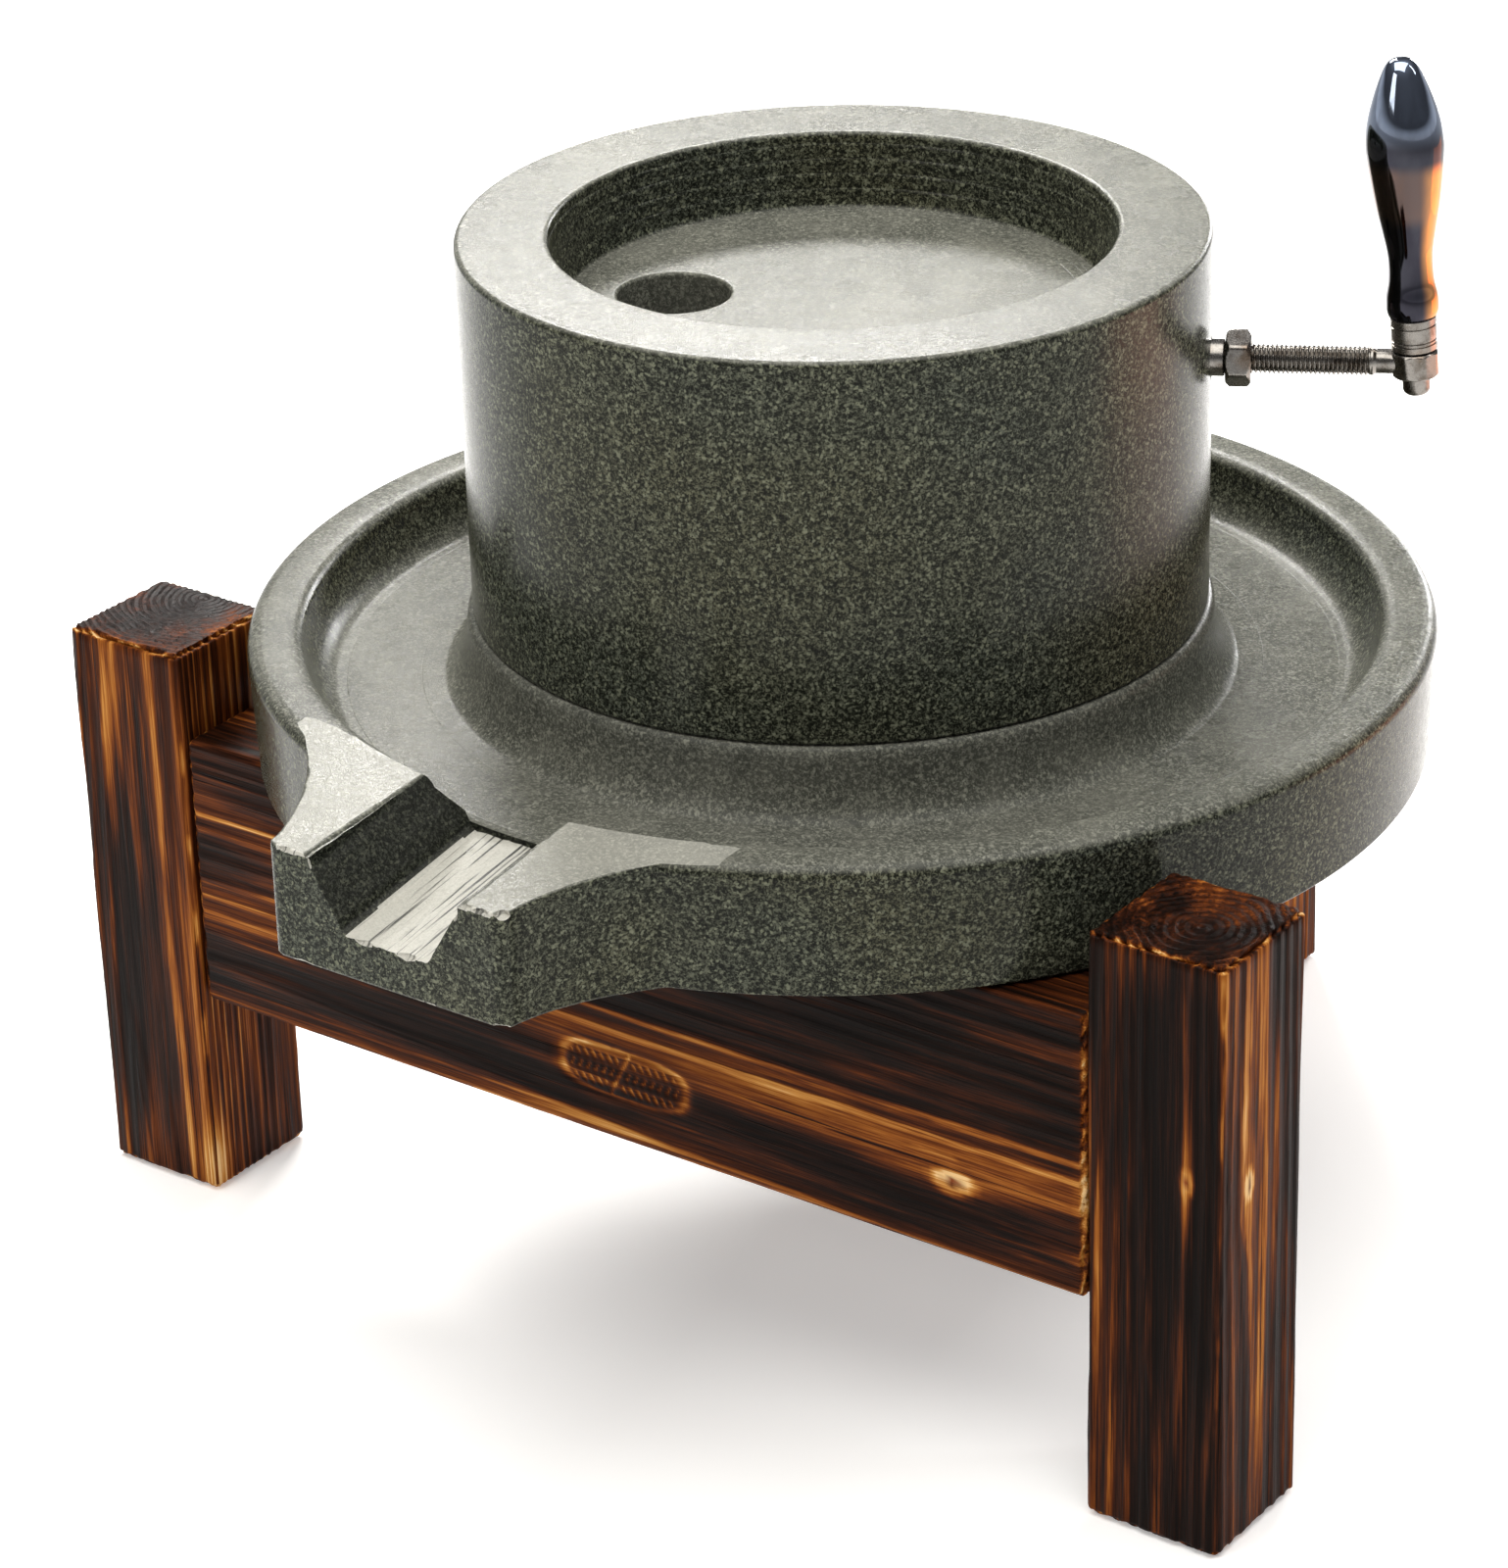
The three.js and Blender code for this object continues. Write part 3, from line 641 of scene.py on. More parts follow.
def spout_edges():
    """Cutters for the worn edges of the shoulders, the tip and the channel's mouth."""
    cutters = []
    down = (0, 0, -1)
    for sign in (-1, 1):
        side = [(x, y) for x, y in spout_side(40)
                if math.hypot(sign * x + SPOUT_X, y) > TRAY_RADIUS + 0.6 * MM and y < CREASE_Y]
        corners, tops, walls = [], [], []
        for i, (x, y) in enumerate(side):
            before, after = side[max(i - 1, 0)], side[min(i + 1, len(side) - 1)]
            run = Vector((after[0] - before[0], after[1] - before[1], 0)).normalized()
            inward = Vector((run.y, -run.x, 0))
            if inward.x > 0:
                inward = -inward
            corners.append((sign * x + SPOUT_X, y, shoulder_height(y)))
            tops.append((sign * inward.x, inward.y, -SHOULDER_SLOPE * -inward.y))
            walls.append(down)
        fade_in = np.clip(np.arange(len(side)) / 8 + 0.05, 0, 1)
        radii = worn_radii(len(side), 0.9 * MM, 0.5 * MM, 20 + sign) * fade_in
        cutters.append(edge_cutter("side_edge", corners, tops, walls, radii, GRANITE))

        xs = np.linspace(SPOUT_HALF_WIDTH - 2 * MM, CHANNEL_TOP - 6 * MM, 24)
        corners = [(sign * x + SPOUT_X, SPOUT_TIP, shoulder_height(SPOUT_TIP)) for x in xs]
        radii = worn_radii(len(xs), 1.1 * MM, 0.8 * MM, 30 + sign)
        cutters.append(edge_cutter("tip_edge", corners, [(0, 1, SHOULDER_SLOPE)] * len(xs),
                                   [down] * len(xs), radii, BROKEN_GRANITE))

        corners, tops, walls = [], [], []
        lean = (CHANNEL_TOP - CHANNEL_FOOT) / (RIM_HEIGHT - CHANNEL_INNER_HEIGHT - CHANNEL_FOOT_HEIGHT)
        for y in np.linspace(CHANNEL_INNER_Y - 7 * MM, SPOUT_TIP - 1 * MM, 40):
            height = shoulder_height(y) - channel_height(y)
            half = CHANNEL_FOOT + lean * (height - CHANNEL_FOOT_HEIGHT)
            corners.append((sign * half + SPOUT_X, y, shoulder_height(y)))
            tops.append((sign, 0, 0))
            walls.append((-sign * lean, 0, -1))
        radii = worn_radii(len(corners), 0.8 * MM, 0.5 * MM, 40 + sign)
        cutters.append(edge_cutter("channel_edge", corners, tops, walls, radii, GRANITE))
    return cutters


def chip(centre, size, seed):
    """A small jagged lump that bites a chip out of an edge."""
    shape = bmesh.new()
    bmesh.ops.create_icosphere(shape, subdivisions=2, radius=1.0)
    draw = np.random.default_rng(seed)
    for vert in shape.verts:
        vert.co *= draw.uniform(0.7, 1.1)
        vert.co = Vector(centre) + Vector([c * s for c, s in zip(vert.co, size)])
    mesh = bpy.data.meshes.new("chip")
    shape.to_mesh(mesh)
    shape.free()
    mesh.materials.append(BROKEN_GRANITE)
    piece = bpy.data.objects.new("chip", mesh)
    bpy.context.scene.collection.objects.link(piece)
    return piece


def spout_chips():
    """Chips along the spout's tip: its top corners, the channel's mouth and lip, and its bottom edge."""
    tip, top = SPOUT_TIP, shoulder_height(SPOUT_TIP)
    right, left = SPOUT_X + SPOUT_HALF_WIDTH, SPOUT_X - SPOUT_HALF_WIDTH
    mouth = SPOUT_X + CHANNEL_TOP
    inlet, lip = SPOUT_X - CHANNEL_TOP, CHANNEL_LIP_HEIGHT
    # Where each chip is in x and z, how far it is moved from there and its half sizes, both in millimetres.
    places = [
        ((right, top), (-1, 2, 0), (3.4, 3, 2.2)),
        ((right, top), (-9, 0, 0), (3.2, 1.6, 1.4)),
        ((left, top), (8, 0, 0), (3, 1.4, 1.5)),
        ((mouth, top), (-1, 0, -3), (1.8, 1.8, 4)),
        ((mouth, top), (4, 0, 0), (2.2, 1.8, 1.6)),
        ((inlet, top), (1, 0, -2), (1.6, 1.6, 3)),
        ((SPOUT_X, lip), (8, 0, 0), (5, 1.8, 1.6)),
        ((SPOUT_X, lip), (-9, 0, 0), (4, 1.4, 1.4)),
        ((right, 0), (-3, 1, 0), (4.5, 2.4, 2)),
        ((left, 0), (12, 0, 0), (6, 1.6, 1.6)),
        ((SPOUT_X, 0), (14, 0, 0), (8, 1.4, 1.3)),
    ]
    chips = []
    for i, ((x, z), (right_by, back_by, up_by), size) in enumerate(places):
        centre = (x + right_by * MM, tip + back_by * MM, z + up_by * MM)
        chips.append(chip(centre, [half * MM for half in size], 60 + i))
    return chips


def lower_stone():
    """The tray with its boss, and the spout with its channel, worn edges and chips."""
    # The tray takes granite with a little painted shade.
    stone = turned("lower_stone_detailed", tray_profile(), STONE_SEGMENTS,
                   materials=[TRAY_GRANITE, BROKEN_GRANITE])
    spout = boolean(spout_block(), basin_block(), "DIFFERENCE")
    stone = boolean(stone, spout, "UNION")
    stone = boolean(stone, shoulder_cutter(), "DIFFERENCE")
    stone = boolean(stone, channel_cutter(), "DIFFERENCE")
    for cutter in spout_edges() + spout_chips():
        stone = boolean(stone, cutter, "DIFFERENCE")
    smooth(stone, 28)
    even_shading(stone)
    transformed(stone, Matrix.Translation((0, 0, SEAT)))
    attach(stone, STAND)
    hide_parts("lower_stone")


def hopper_wall():
    """(radius, height) down the hopper's wall: turned in shallow steps."""
    top, floor = RUNNER_TOP - RUNNER_EDGE, HOPPER_FLOOR_HEIGHT
    points = [(HOPPER_RADIUS, top)]
    steps, step_depth = 4, 0.55 * MM
    for step in range(steps):
        high = top - (top - floor - 3 * MM) * (step + 0.35) / steps
        inset = step_depth * (step + 1)
        points += [
            (HOPPER_RADIUS - inset + step_depth, high),
            (HOPPER_RADIUS - inset + 0.25 * MM, high - 0.5 * MM),
            (HOPPER_RADIUS - inset, high - 1.3 * MM),
        ]
    last = points[-1]
    points += bend(last, (last[0] - 0.2 * MM, floor), (HOPPER_FLOOR_RADIUS - 1 * MM, floor), 6)
    return points


def runner_stone():
    """The drum with its stepped hopper, feed hole and crank socket."""
    edge, foot, floor = RUNNER_EDGE, 1.2 * MM, HOPPER_FLOOR_HEIGHT
    profile = [
        (0, RUNNER_FOOT), (60 * MM, RUNNER_FOOT),
        *arc((RUNNER_RADIUS - foot, RUNNER_FOOT + foot), foot, -90, 0, 4),
        (RUNNER_RADIUS, 100 * MM), (RUNNER_RADIUS, 150 * MM),
        *arc((RUNNER_RADIUS - edge, RUNNER_TOP - edge), edge, 0, 90, 8),
        *arc((HOPPER_RADIUS + edge, RUNNER_TOP - edge), edge, 90, 180, 8),
        *hopper_wall()[1:],
        *turned_lines(HOPPER_LINES, floor),
        (40 * MM, floor), (0, floor),
    ]
    stone = turned("runner_stone_detailed", profile, STONE_SEGMENTS, materials=[GRANITE])
    lip, overrun = 1.3 * MM, 5 * MM
    hole_profile = [
        (0, RUNNER_FOOT - overrun), (FEED_HOLE_RADIUS, RUNNER_FOOT - overrun),
        (FEED_HOLE_RADIUS, 100 * MM), (FEED_HOLE_RADIUS, floor - lip),
        *[(FEED_HOLE_RADIUS + lip * (1 - math.cos(t)), floor - lip + lip * math.sin(t))
          for t in np.radians((25, 50, 70, 90))],
        (FEED_HOLE_RADIUS + lip, floor + 8 * MM), (0, floor + 8 * MM),
    ]
    hole = turned("feed_hole", hole_profile, 72, materials=[DRILLED_GRANITE])
    across, back = math.cos(FEED_HOLE_BEARING), math.sin(FEED_HOLE_BEARING)
    transformed(hole, Matrix.Translation((FEED_HOLE_OFFSET * across, FEED_HOLE_OFFSET * back, 0)))
    stone = boolean(stone, hole, "DIFFERENCE")
    transformed(stone, Matrix.Translation((0, 0, SEAT)))
    mouth = SOCKET_RADIUS + 1 * MM
    socket_profile = [(0, SLEEVE_INNER - GAP), (SOCKET_RADIUS, SLEEVE_INNER - GAP),
                      (SOCKET_RADIUS, RUNNER_RADIUS - 1 * MM), (mouth, RUNNER_RADIUS),
                      (mouth, RUNNER_RADIUS + 10 * MM), (0, RUNNER_RADIUS + 10 * MM)]
    socket = turned("socket", socket_profile, 40, materials=[GRANITE])
    stone = boolean(stone, transformed(socket, CRANK @ ALONG_X), "DIFFERENCE")
    smooth(stone, 28)
    even_shading(stone)
    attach(stone, "runner")
    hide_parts("runner_stone")


# ---------------------------------------------------------------- crank and handle
GAP = 0.4 * MM
SLEEVE_INNER, SLEEVE_OUTER, SLEEVE_RADIUS = 90 * MM, 129.3 * MM, 6.2 * MM
SOCKET_RADIUS = SLEEVE_RADIUS + GAP
STUD_RADIUS, STUD_INNER, THREAD_PITCH, THREAD_DEPTH = 5 * MM, 93 * MM, 1.5 * MM, 0.85 * MM
NECK_START, NECK_RADIUS = 177.5 * MM, 4.1 * MM
NUT_ACROSS_FLATS, NUT_THICK, NUT_TURN = 17 * MM, 8.4 * MM, math.radians(18)
EYE_OFFSET, EYE_RADIUS, EYE_HEIGHT, EYE_PIN_RADIUS = 191.7 * MM, 8.1 * MM, 8.6 * MM, 4 * MM
HANDLE_LEAN = math.radians(4.2)
COLLAR_RADIUS, COLLAR_HEIGHT, SPINDLE_RADIUS = 7.6 * MM, 12 * MM, 3.2 * MM
SPINDLE_END_RADIUS, SPINDLE_END_LENGTH = 4.6 * MM, 6.4 * MM
COLLAR_LINES, COLLAR_LINE_DEPTH = (2.4 * MM, 3.6 * MM, 8.6 * MM), 0.45 * MM
GRIP_BORE_DEPTH = 60 * MM
# The grip's outline as (radius, height above its foot) in millimetres.
GRIP_OUTLINE = ((8.2, 0), (8.7, 2), (8.6, 6), (7.5, 12.4), (7.5, 20.7), (8.9, 29), (10.5, 37.2), (11.7, 45.5),
                (12.6, 53.5), (12.8, 59), (11.9, 66), (9.5, 74.2), (6.9, 81), (4.9, 84.8), (2.8, 86.5),
                (0, 87))
sleeve_low, sleeve_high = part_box("crank_sleeve")
CRANK_HEIGHT = (sleeve_low.z + sleeve_high.z) / 2
CRANK = Matrix.Translation((0, 0, CRANK_HEIGHT)) @ Matrix.Rotation(math.radians(28.5), 4, "Z")
ALONG_X = Matrix.Rotation(math.pi / 2, 4, "Y")
HANDLE = CRANK @ Matrix.Translation((EYE_OFFSET, 0, 0)) @ Matrix.Rotation(-HANDLE_LEAN, 4, "Y")


def threaded_rod():
    """The rod with a real helical thread, running down into the sleeve."""
    segments, per_pitch = 36, 8
    angles = np.arange(segments) * 2 * math.pi / segments

    def ring_at(x, radius):
        points = np.stack([np.full(segments, x), radius * np.cos(angles), radius * np.sin(angles)], 1)
        return [tuple(p) for p in points]

    rows = []
    for x in np.arange(STUD_INNER, NECK_START, THREAD_PITCH / per_pitch):
        phase = (x / THREAD_PITCH - angles / (2 * math.pi)) % 1.0
        tooth = np.clip(1.25 - np.abs(phase - 0.5) * 2.9, 0, 1)
        fade = min(1.0, (x - STUD_INNER) / THREAD_PITCH, (NECK_START - x) / THREAD_PITCH)
        rows.append(ring_at(x, STUD_RADIUS - THREAD_DEPTH * (1 - tooth) * fade - (1 - fade) * 0.3 * MM))
    rows.append(ring_at(NECK_START + 0.4 * MM, STUD_RADIUS - 0.2 * MM))
    rows.append(ring_at(NECK_START + 1.5 * MM, NECK_RADIUS))
    rows.append(ring_at(EYE_OFFSET - EYE_RADIUS + 3 * MM, NECK_RADIUS))
    return lofted("rod", rows, [STEEL], 50)


def faceted_ring(name, sides, flat, height, bore, round_corner, chamfer, segments):
    """A nut-like steel body about +Z: flats meeting in soft corners, ends turned off, and a bore."""
    angles = np.arange(segments) * 2 * math.pi / segments
    turn = 2 * math.pi / sides
    local = (angles + turn / 2) % turn - turn / 2
    half, face, corner = height / 2, flat * 0.97, flat / math.cos(turn / 2)
    outline = np.minimum(flat / np.cos(local), corner - round_corner)
    levels = [(-half + t * chamfer, face + (corner - face) * t) for t in (0, 0.12, 0.3, 0.55, 0.8, 1)]
    levels += [(-z, limit) for z, limit in reversed(levels)]
    lip = 0.5 * MM
    bore_line = [(half, bore + lip), (half - lip, bore), (-half + lip, bore), (-half, bore + lip)]
    rings = [(z, np.minimum(outline, limit)) for z, limit in levels] + bore_line
    verts = np.concatenate([
        np.stack([radius * np.cos(angles), radius * np.sin(angles), np.full(segments, z)], 1)
        for z, radius in rings])
    faces = []
    for row in range(len(rings)):
        here, after = row * segments, (row + 1) % len(rings) * segments
        for k in range(segments):
            j = (k + 1) % segments
            faces.append((here + k, here + j, after + j, after + k))
    return new_object(name, verts, faces, 30, [STEEL])


def crank():
    """The sleeve in the runner's side, the nut against it, and the threaded rod with its eye."""
    bore = STUD_RADIUS + GAP
    sleeve = faceted_ring("crank_sleeve_detailed", 60, SLEEVE_RADIUS, SLEEVE_OUTER - SLEEVE_INNER,
                          bore, 0, 0.4 * MM, 60)
    transformed(sleeve, CRANK @ Matrix.Translation(((SLEEVE_INNER + SLEEVE_OUTER) / 2, 0, 0)) @ ALONG_X)
    nut = faceted_ring("crank_nut_detailed", 6, NUT_ACROSS_FLATS / 2, NUT_THICK, bore,
                       0.25 * MM, 1.5 * MM, 144)
    middle = SLEEVE_OUTER + GAP + NUT_THICK / 2
    turn = Matrix.Rotation(NUT_TURN, 4, "X")
    transformed(nut, CRANK @ Matrix.Translation((middle, 0, 0)) @ turn @ ALONG_X)
    eye = faceted_ring("eye", 8, EYE_RADIUS * math.cos(math.pi / 8), EYE_HEIGHT, EYE_PIN_RADIUS + GAP,
                       0.12 * MM, 0.9 * MM, 96)
    eye_place = Matrix.Translation((EYE_OFFSET, 0, 0)) @ Matrix.Rotation(-HANDLE_LEAN, 4, "Y")
    transformed(eye, eye_place)
    arm = boolean(threaded_rod(), eye, "UNION")
    reach, bore = 9 * MM, EYE_PIN_RADIUS + GAP
    bore_cut = turned("bore", [(0, -reach), (bore, -reach), (bore, reach), (0, reach)], 48,
                      materials=[STEEL])
    arm = boolean(arm, transformed(bore_cut, eye_place), "DIFFERENCE")
    arm.name = "crank_arm_detailed"
    smooth(arm, 32)
    transformed(arm, CRANK)
    for piece, node in ((sleeve, "crank_sleeve"), (nut, "crank_nut"), (arm, "crank_arm")):
        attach(piece, "runner")
        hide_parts(node)


def handle():
    """The spindle with its lined collar and slotted end, and the grip that spins on it."""
    top = EYE_HEIGHT / 2 + GAP
    end = -top - SPINDLE_END_LENGTH
    collar_top = top + COLLAR_HEIGHT
    tip = collar_top + GRIP_BORE_DEPTH - 2 * MM
    chamfer, line_radius = 0.6 * MM, COLLAR_RADIUS - COLLAR_LINE_DEPTH
    collar = [(COLLAR_RADIUS - chamfer, top), (COLLAR_RADIUS, top + chamfer)]
    for height in COLLAR_LINES:
        z = top + height
        collar += [(COLLAR_RADIUS, z), (line_radius, z + 0.25 * MM),
                   (line_radius, z + 0.45 * MM), (COLLAR_RADIUS, z + 0.7 * MM)]
    collar += [(COLLAR_RADIUS, collar_top - chamfer), (COLLAR_RADIUS - chamfer, collar_top)]
    dome = 2.5 * MM
    profile = [(0, end), *arc((SPINDLE_END_RADIUS - dome, end + dome), dome, -88, 0, 7),
               (SPINDLE_END_RADIUS, -top - 0.5 * MM), (SPINDLE_END_RADIUS - 0.4 * MM, -top),
               (EYE_PIN_RADIUS, -top), (EYE_PIN_RADIUS, top), *collar,
               (SPINDLE_RADIUS, collar_top), (SPINDLE_RADIUS, tip), (0, tip)]
    spindle = turned("handle_spindle_detailed", profile, 64, 30, [STEEL])
    slot_half, deep, reach = 0.6 * MM, 1.8 * MM, 8 * MM
    sections = [[(x, -slot_half, end - reach), (x, slot_half, end - reach), (x, slot_half, end + deep),
                 (x, -slot_half, end + deep)] for x in (-reach, reach)]
    spindle = boolean(spindle, lofted("slot", sections, [STEEL]), "DIFFERENCE")
    smooth(spindle, 30)
    transformed(spindle, HANDLE)
    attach(spindle, "runner")
    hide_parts("handle_spindle")

    foot = collar_top + GAP
    bore = SPINDLE_RADIUS + GAP
    outline = spline(np.array(GRIP_OUTLINE) * MM, 6)
    profile = [(0, GRIP_BORE_DEPTH), (bore, GRIP_BORE_DEPTH), (bore, 0), *outline]
    grip = turned("handle_grip_detailed", [(r, z + foot) for r, z in profile], 72, 45, [CHROME])
    transformed(grip, HANDLE)
    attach(grip, "grip")
    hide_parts("handle_grip")


def spline(points, steps):
    """A smooth line through the points (Catmull-Rom), its radius never below zero."""
    padded = np.vstack([2 * points[0] - points[1], points, 2 * points[-1] - points[-2]])
    out = []
    for i in range(1, len(padded) - 2):
        p0, p1, p2, p3 = padded[i - 1:i + 3]
        for t in np.arange(steps) / steps:
            out.append(0.5 * (2 * p1 + (p2 - p0) * t + (2 * p0 - 5 * p1 + 4 * p2 - p3) * t * t
                              + (3 * p1 - p0 - 3 * p2 + p3) * t ** 3))
    out.append(points[-1])
    return [(max(float(r), 0.0), float(z)) for r, z in out]


# ---------------------------------------------------------------- wood
def axis_stations(length, step, fine_step, fine_spans):
    """Positions along an axis: fine near both ends and inside fine_spans, step apart elsewhere."""
    ease = 5 * MM
    spans = [(0, ease), (length - ease, length), *fine_spans]
    here, out = 0.0, [0.0]
    while here < length - TINY:
        fine = any(low - TINY <= here < high for low, high in spans)
        here = min(length, here + (fine_step if fine else step))
        out.append(here)
    if len(out) > 2 and out[-1] - out[-2] < 0.3 * fine_step:
        out.pop(-2)
    return np.array(out)


def box_surface(stations):
    """Points and quads of a box's six faces on a grid of stations along x, y and z, as one closed mesh."""
    index, points, faces = {}, [], []

    def vertex(key):
        if key not in index:
            index[key] = len(points)
            points.append([stations[axis][key[axis]] for axis in range(3)])
        return index[key]

    for fixed in range(3):
        u, v = (fixed + 1) % 3, (fixed + 2) % 3
        for side in (0, len(stations[fixed]) - 1):
            for i in range(len(stations[u]) - 1):
                for j in range(len(stations[v]) - 1):
                    loop = []
                    for di, dj in ((0, 0), (1, 0), (1, 1), (0, 1)):
                        key = [0, 0, 0]
                        key[fixed], key[u], key[v] = side, i + di, j + dj
                        loop.append(vertex(tuple(key)))
                    faces.append(loop if side else loop[::-1])
    return np.array(points), faces


EDGE_ROUND = 3.0 * MM
FINE_STEP = 0.8                # millimetres between points near the ends
KNOT_DEPTH = 6 * MM            # how far in from its face a knot shows
KNOT_REACH = 26 * MM           # how far in from its face a knot still bends the rings
SPOT_DEPTH = 9 * MM            # how far in from its face a spot of char or pale wear fades out
CORE_RADIUS = 20 * MM          # how far from the pith an end is burnt darker
DEEPEST = 3.2                  # millimetres that wear may take off
LOW_A, HIGH_A, LOW_B, HIGH_B = (0, 0), (0, 1), (1, 0), (1, 1)


class Timber:
    """A charred block in place of a CAD node. s runs along the grain; a and b lie across it.

    pith is where the rings' centre meets the section, as (a, b) in millimetres from the low corner. A face
    is (0 or 1 for a or b, 0 or 1 for low or high), and places on it are in millimetres.
    """

    def __init__(self, node, along, pith, ring_width, seed, step=(3.0, 1.0), fine_spans=()):
        self.node, self.seed = node, seed
        self.low, high = (np.array(corner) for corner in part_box(node))
        self.size = high - self.low
        across = [axis for axis in range(3) if axis != along]
        spans = [(low * MM, high * MM) for low, high in fine_spans]
        stations = []
        for axis in range(3):
            coarse, fine_here = (step[0], spans) if axis == along else (step[1], [])
            fine = min(FINE_STEP, coarse)
            stations.append(axis_stations(self.size[axis], coarse * MM, fine * MM, fine_here))
        self.points, self.faces = box_surface(stations)
        inner = np.clip(self.points, EDGE_ROUND, self.size - EDGE_ROUND)
        out = self.points - inner
        self.normal = out / np.linalg.norm(out, axis=1, keepdims=True)
        self.points = inner + self.normal * EDGE_ROUND
        self.s = self.points[:, along]
        self.a, self.b = (self.points[:, axis] for axis in across)
        self.end = np.abs(self.normal[:, along])
        self.edge = ramp(np.max(np.abs(self.normal), axis=1), 0.97, 0.80)
        self.grain = np.stack([self.s, self.a, self.b], 1)
        self.along, self.across = along, across
        self.pith, self.ring_width = np.array(pith) * MM, ring_width * MM
        self.knots = []
        self.char = np.full(len(self.points), 0.5)
        self.pale = np.zeros(len(self.points))
        self.extra = np.zeros(len(self.points))

    def noise(self, scale, seed, octaves=3):
        """Noise over (s, a, b), with scale giving the size of one cell along each, in millimetres."""
        return layered_noise(self.grain / (np.array(scale) * MM), self.seed * 31 + seed, octaves)

    def scorch(self, mean, spread, cell):
        """Sets the char all over, uneven in patches the size of cell."""
        self.char = mean + spread * (self.noise(cell, 11) - 0.5)

    def add_spots(self, layer, spots):
        """Adds spots to a layer, each an amount followed by what blob takes."""
        for amount, *spot in spots:
            layer += amount * self.blob(*spot)

    def under(self, face):
        """How deep each point lies under a face, and its place across that face."""
        axis, side = face
        depth, place = (self.a, self.b) if axis == 0 else (self.b, self.a)
        return (self.size[self.across[axis]] - depth if side else depth), place

    def blob(self, face, s, t, half_s, half_t):
        """1 at a spot on a face and 0 beyond it."""
        depth, other = self.under(face)
        near = np.exp(-(depth / SPOT_DEPTH) ** 2)
        far = ((self.s - s * MM) / (half_s * MM)) ** 2 + ((other - t * MM) / (half_t * MM)) ** 2
        return near * np.exp(-far)

    def rings(self):
        """The ring number at each point, bent round the knots, and how far inside a knot it is."""
        sway = 6 * MM
        coords = [self.a + (self.noise((330, 90, 90), 1, 2) - 0.5) * sway,
                  self.b + (self.noise((290, 90, 90), 2, 2) - 0.5) * sway]
        inside = np.zeros(len(self.points))
        for face, s, t, radius, reach in self.knots:
            depth, other = self.under(face)
            fade = np.exp(-(depth / KNOT_REACH) ** 2)
            ds = (self.s - s * MM) * reach
            dt = other - t * MM
            wobble = 1 + 0.35 * (self.noise((9, 6, 6), 7, 2) - 0.5)
            rho = np.sqrt(ds ** 2 + dt ** 2) * wobble
            size = radius * MM
            push = fade * size ** 2 / (rho ** 2 + (0.45 * size) ** 2) * 0.9
            sideways = 1 - face[0]
            coords[sideways] = coords[sideways] - dt * np.clip(push, 0, 0.92)
            centre = np.sqrt((ds / reach * 0.6) ** 2 + dt ** 2) * wobble
            near_face = depth < KNOT_DEPTH
            inside = np.maximum(inside, ramp(centre, 0.42 * size, 0.22 * size) * near_face)
            self.pale += 0.9 * ramp(centre, 1.15 * size, 0.5 * size) * near_face
        radial = np.hypot(coords[0] - self.pith[0], coords[1] - self.pith[1])
        ring = radial / self.ring_width + 1.3 * (self.noise((260, 12, 12), 3, 2) - 0.5)
        ring = ring + 0.14 * (self.noise((40, 3, 3), 4, 2) - 0.5)
        return ring, inside

    def build(self, wear, relief, nibbled=1.0):
        """Makes the piece: soft wood brushed out between the rings, with worn and nibbled edges."""
        ring, knot = self.rings()
        phase = ring % 1.0
        proud = ramp(phase, 0.35, 0.75) * ramp(phase, 1.0, 0.88)
        at_end = ramp(self.end, 0.15, 0.8)
        nibble = self.edge * (0.3 + 0.7 * at_end) * nibbled
        rough = self.noise((30, 1.6, 1.6), 5, 3)
        depth = relief * (1 - proud) * (0.45 + 0.55 * self.char) * (1 - 0.6 * knot)
        depth = depth + 0.30 * rough + nibble * (1.1 * (1 - proud) + 1.3 * self.noise((6, 6, 6), 6, 3))
        depth = depth + self.extra
        dip = np.clip(depth, 0, DEEPEST) * MM
        points = self.points - self.normal * dip[:, None] + self.low
        worn = self.edge * ramp(self.noise((22, 9, 9), 8, 3), 0.66 - 0.2 * wear, 0.8 - 0.2 * wear)
        teeth = self.edge * ramp(self.end, 0.1, 0.5) * (0.25 + 0.75 * proud)
        pale = np.clip(self.pale + (0.6 * worn + 0.8 * teeth) * wear, 0, 1)
        middle = np.hypot(self.a - self.pith[0], self.b - self.pith[1])
        self.char += ramp(self.end, 0.9, 1.0) * (0.42 * np.exp(-(middle / CORE_RADIUS) ** 2) - 0.12)
        contrast = 1 - 0.55 * ramp(self.end, 0.9, 1.0)
        piece = new_object(self.node + "_detailed", points, self.faces, 60, [CHARRED_WOOD])
        layers = {"ring": ring, "char": self.char, "pale": pale, "knot": knot, "contrast": contrast}
        for key, values in layers.items():
            layer = piece.data.attributes.new(key, "FLOAT", "POINT")
            layer.data.foreach_set("value", values.astype(np.float32))
        layer = piece.data.attributes.new("grain", "FLOAT_VECTOR", "POINT")
        layer.data.foreach_set("vector", (self.grain + self.seed).astype(np.float32).ravel())
        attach(piece, STAND)
        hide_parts(self.node)


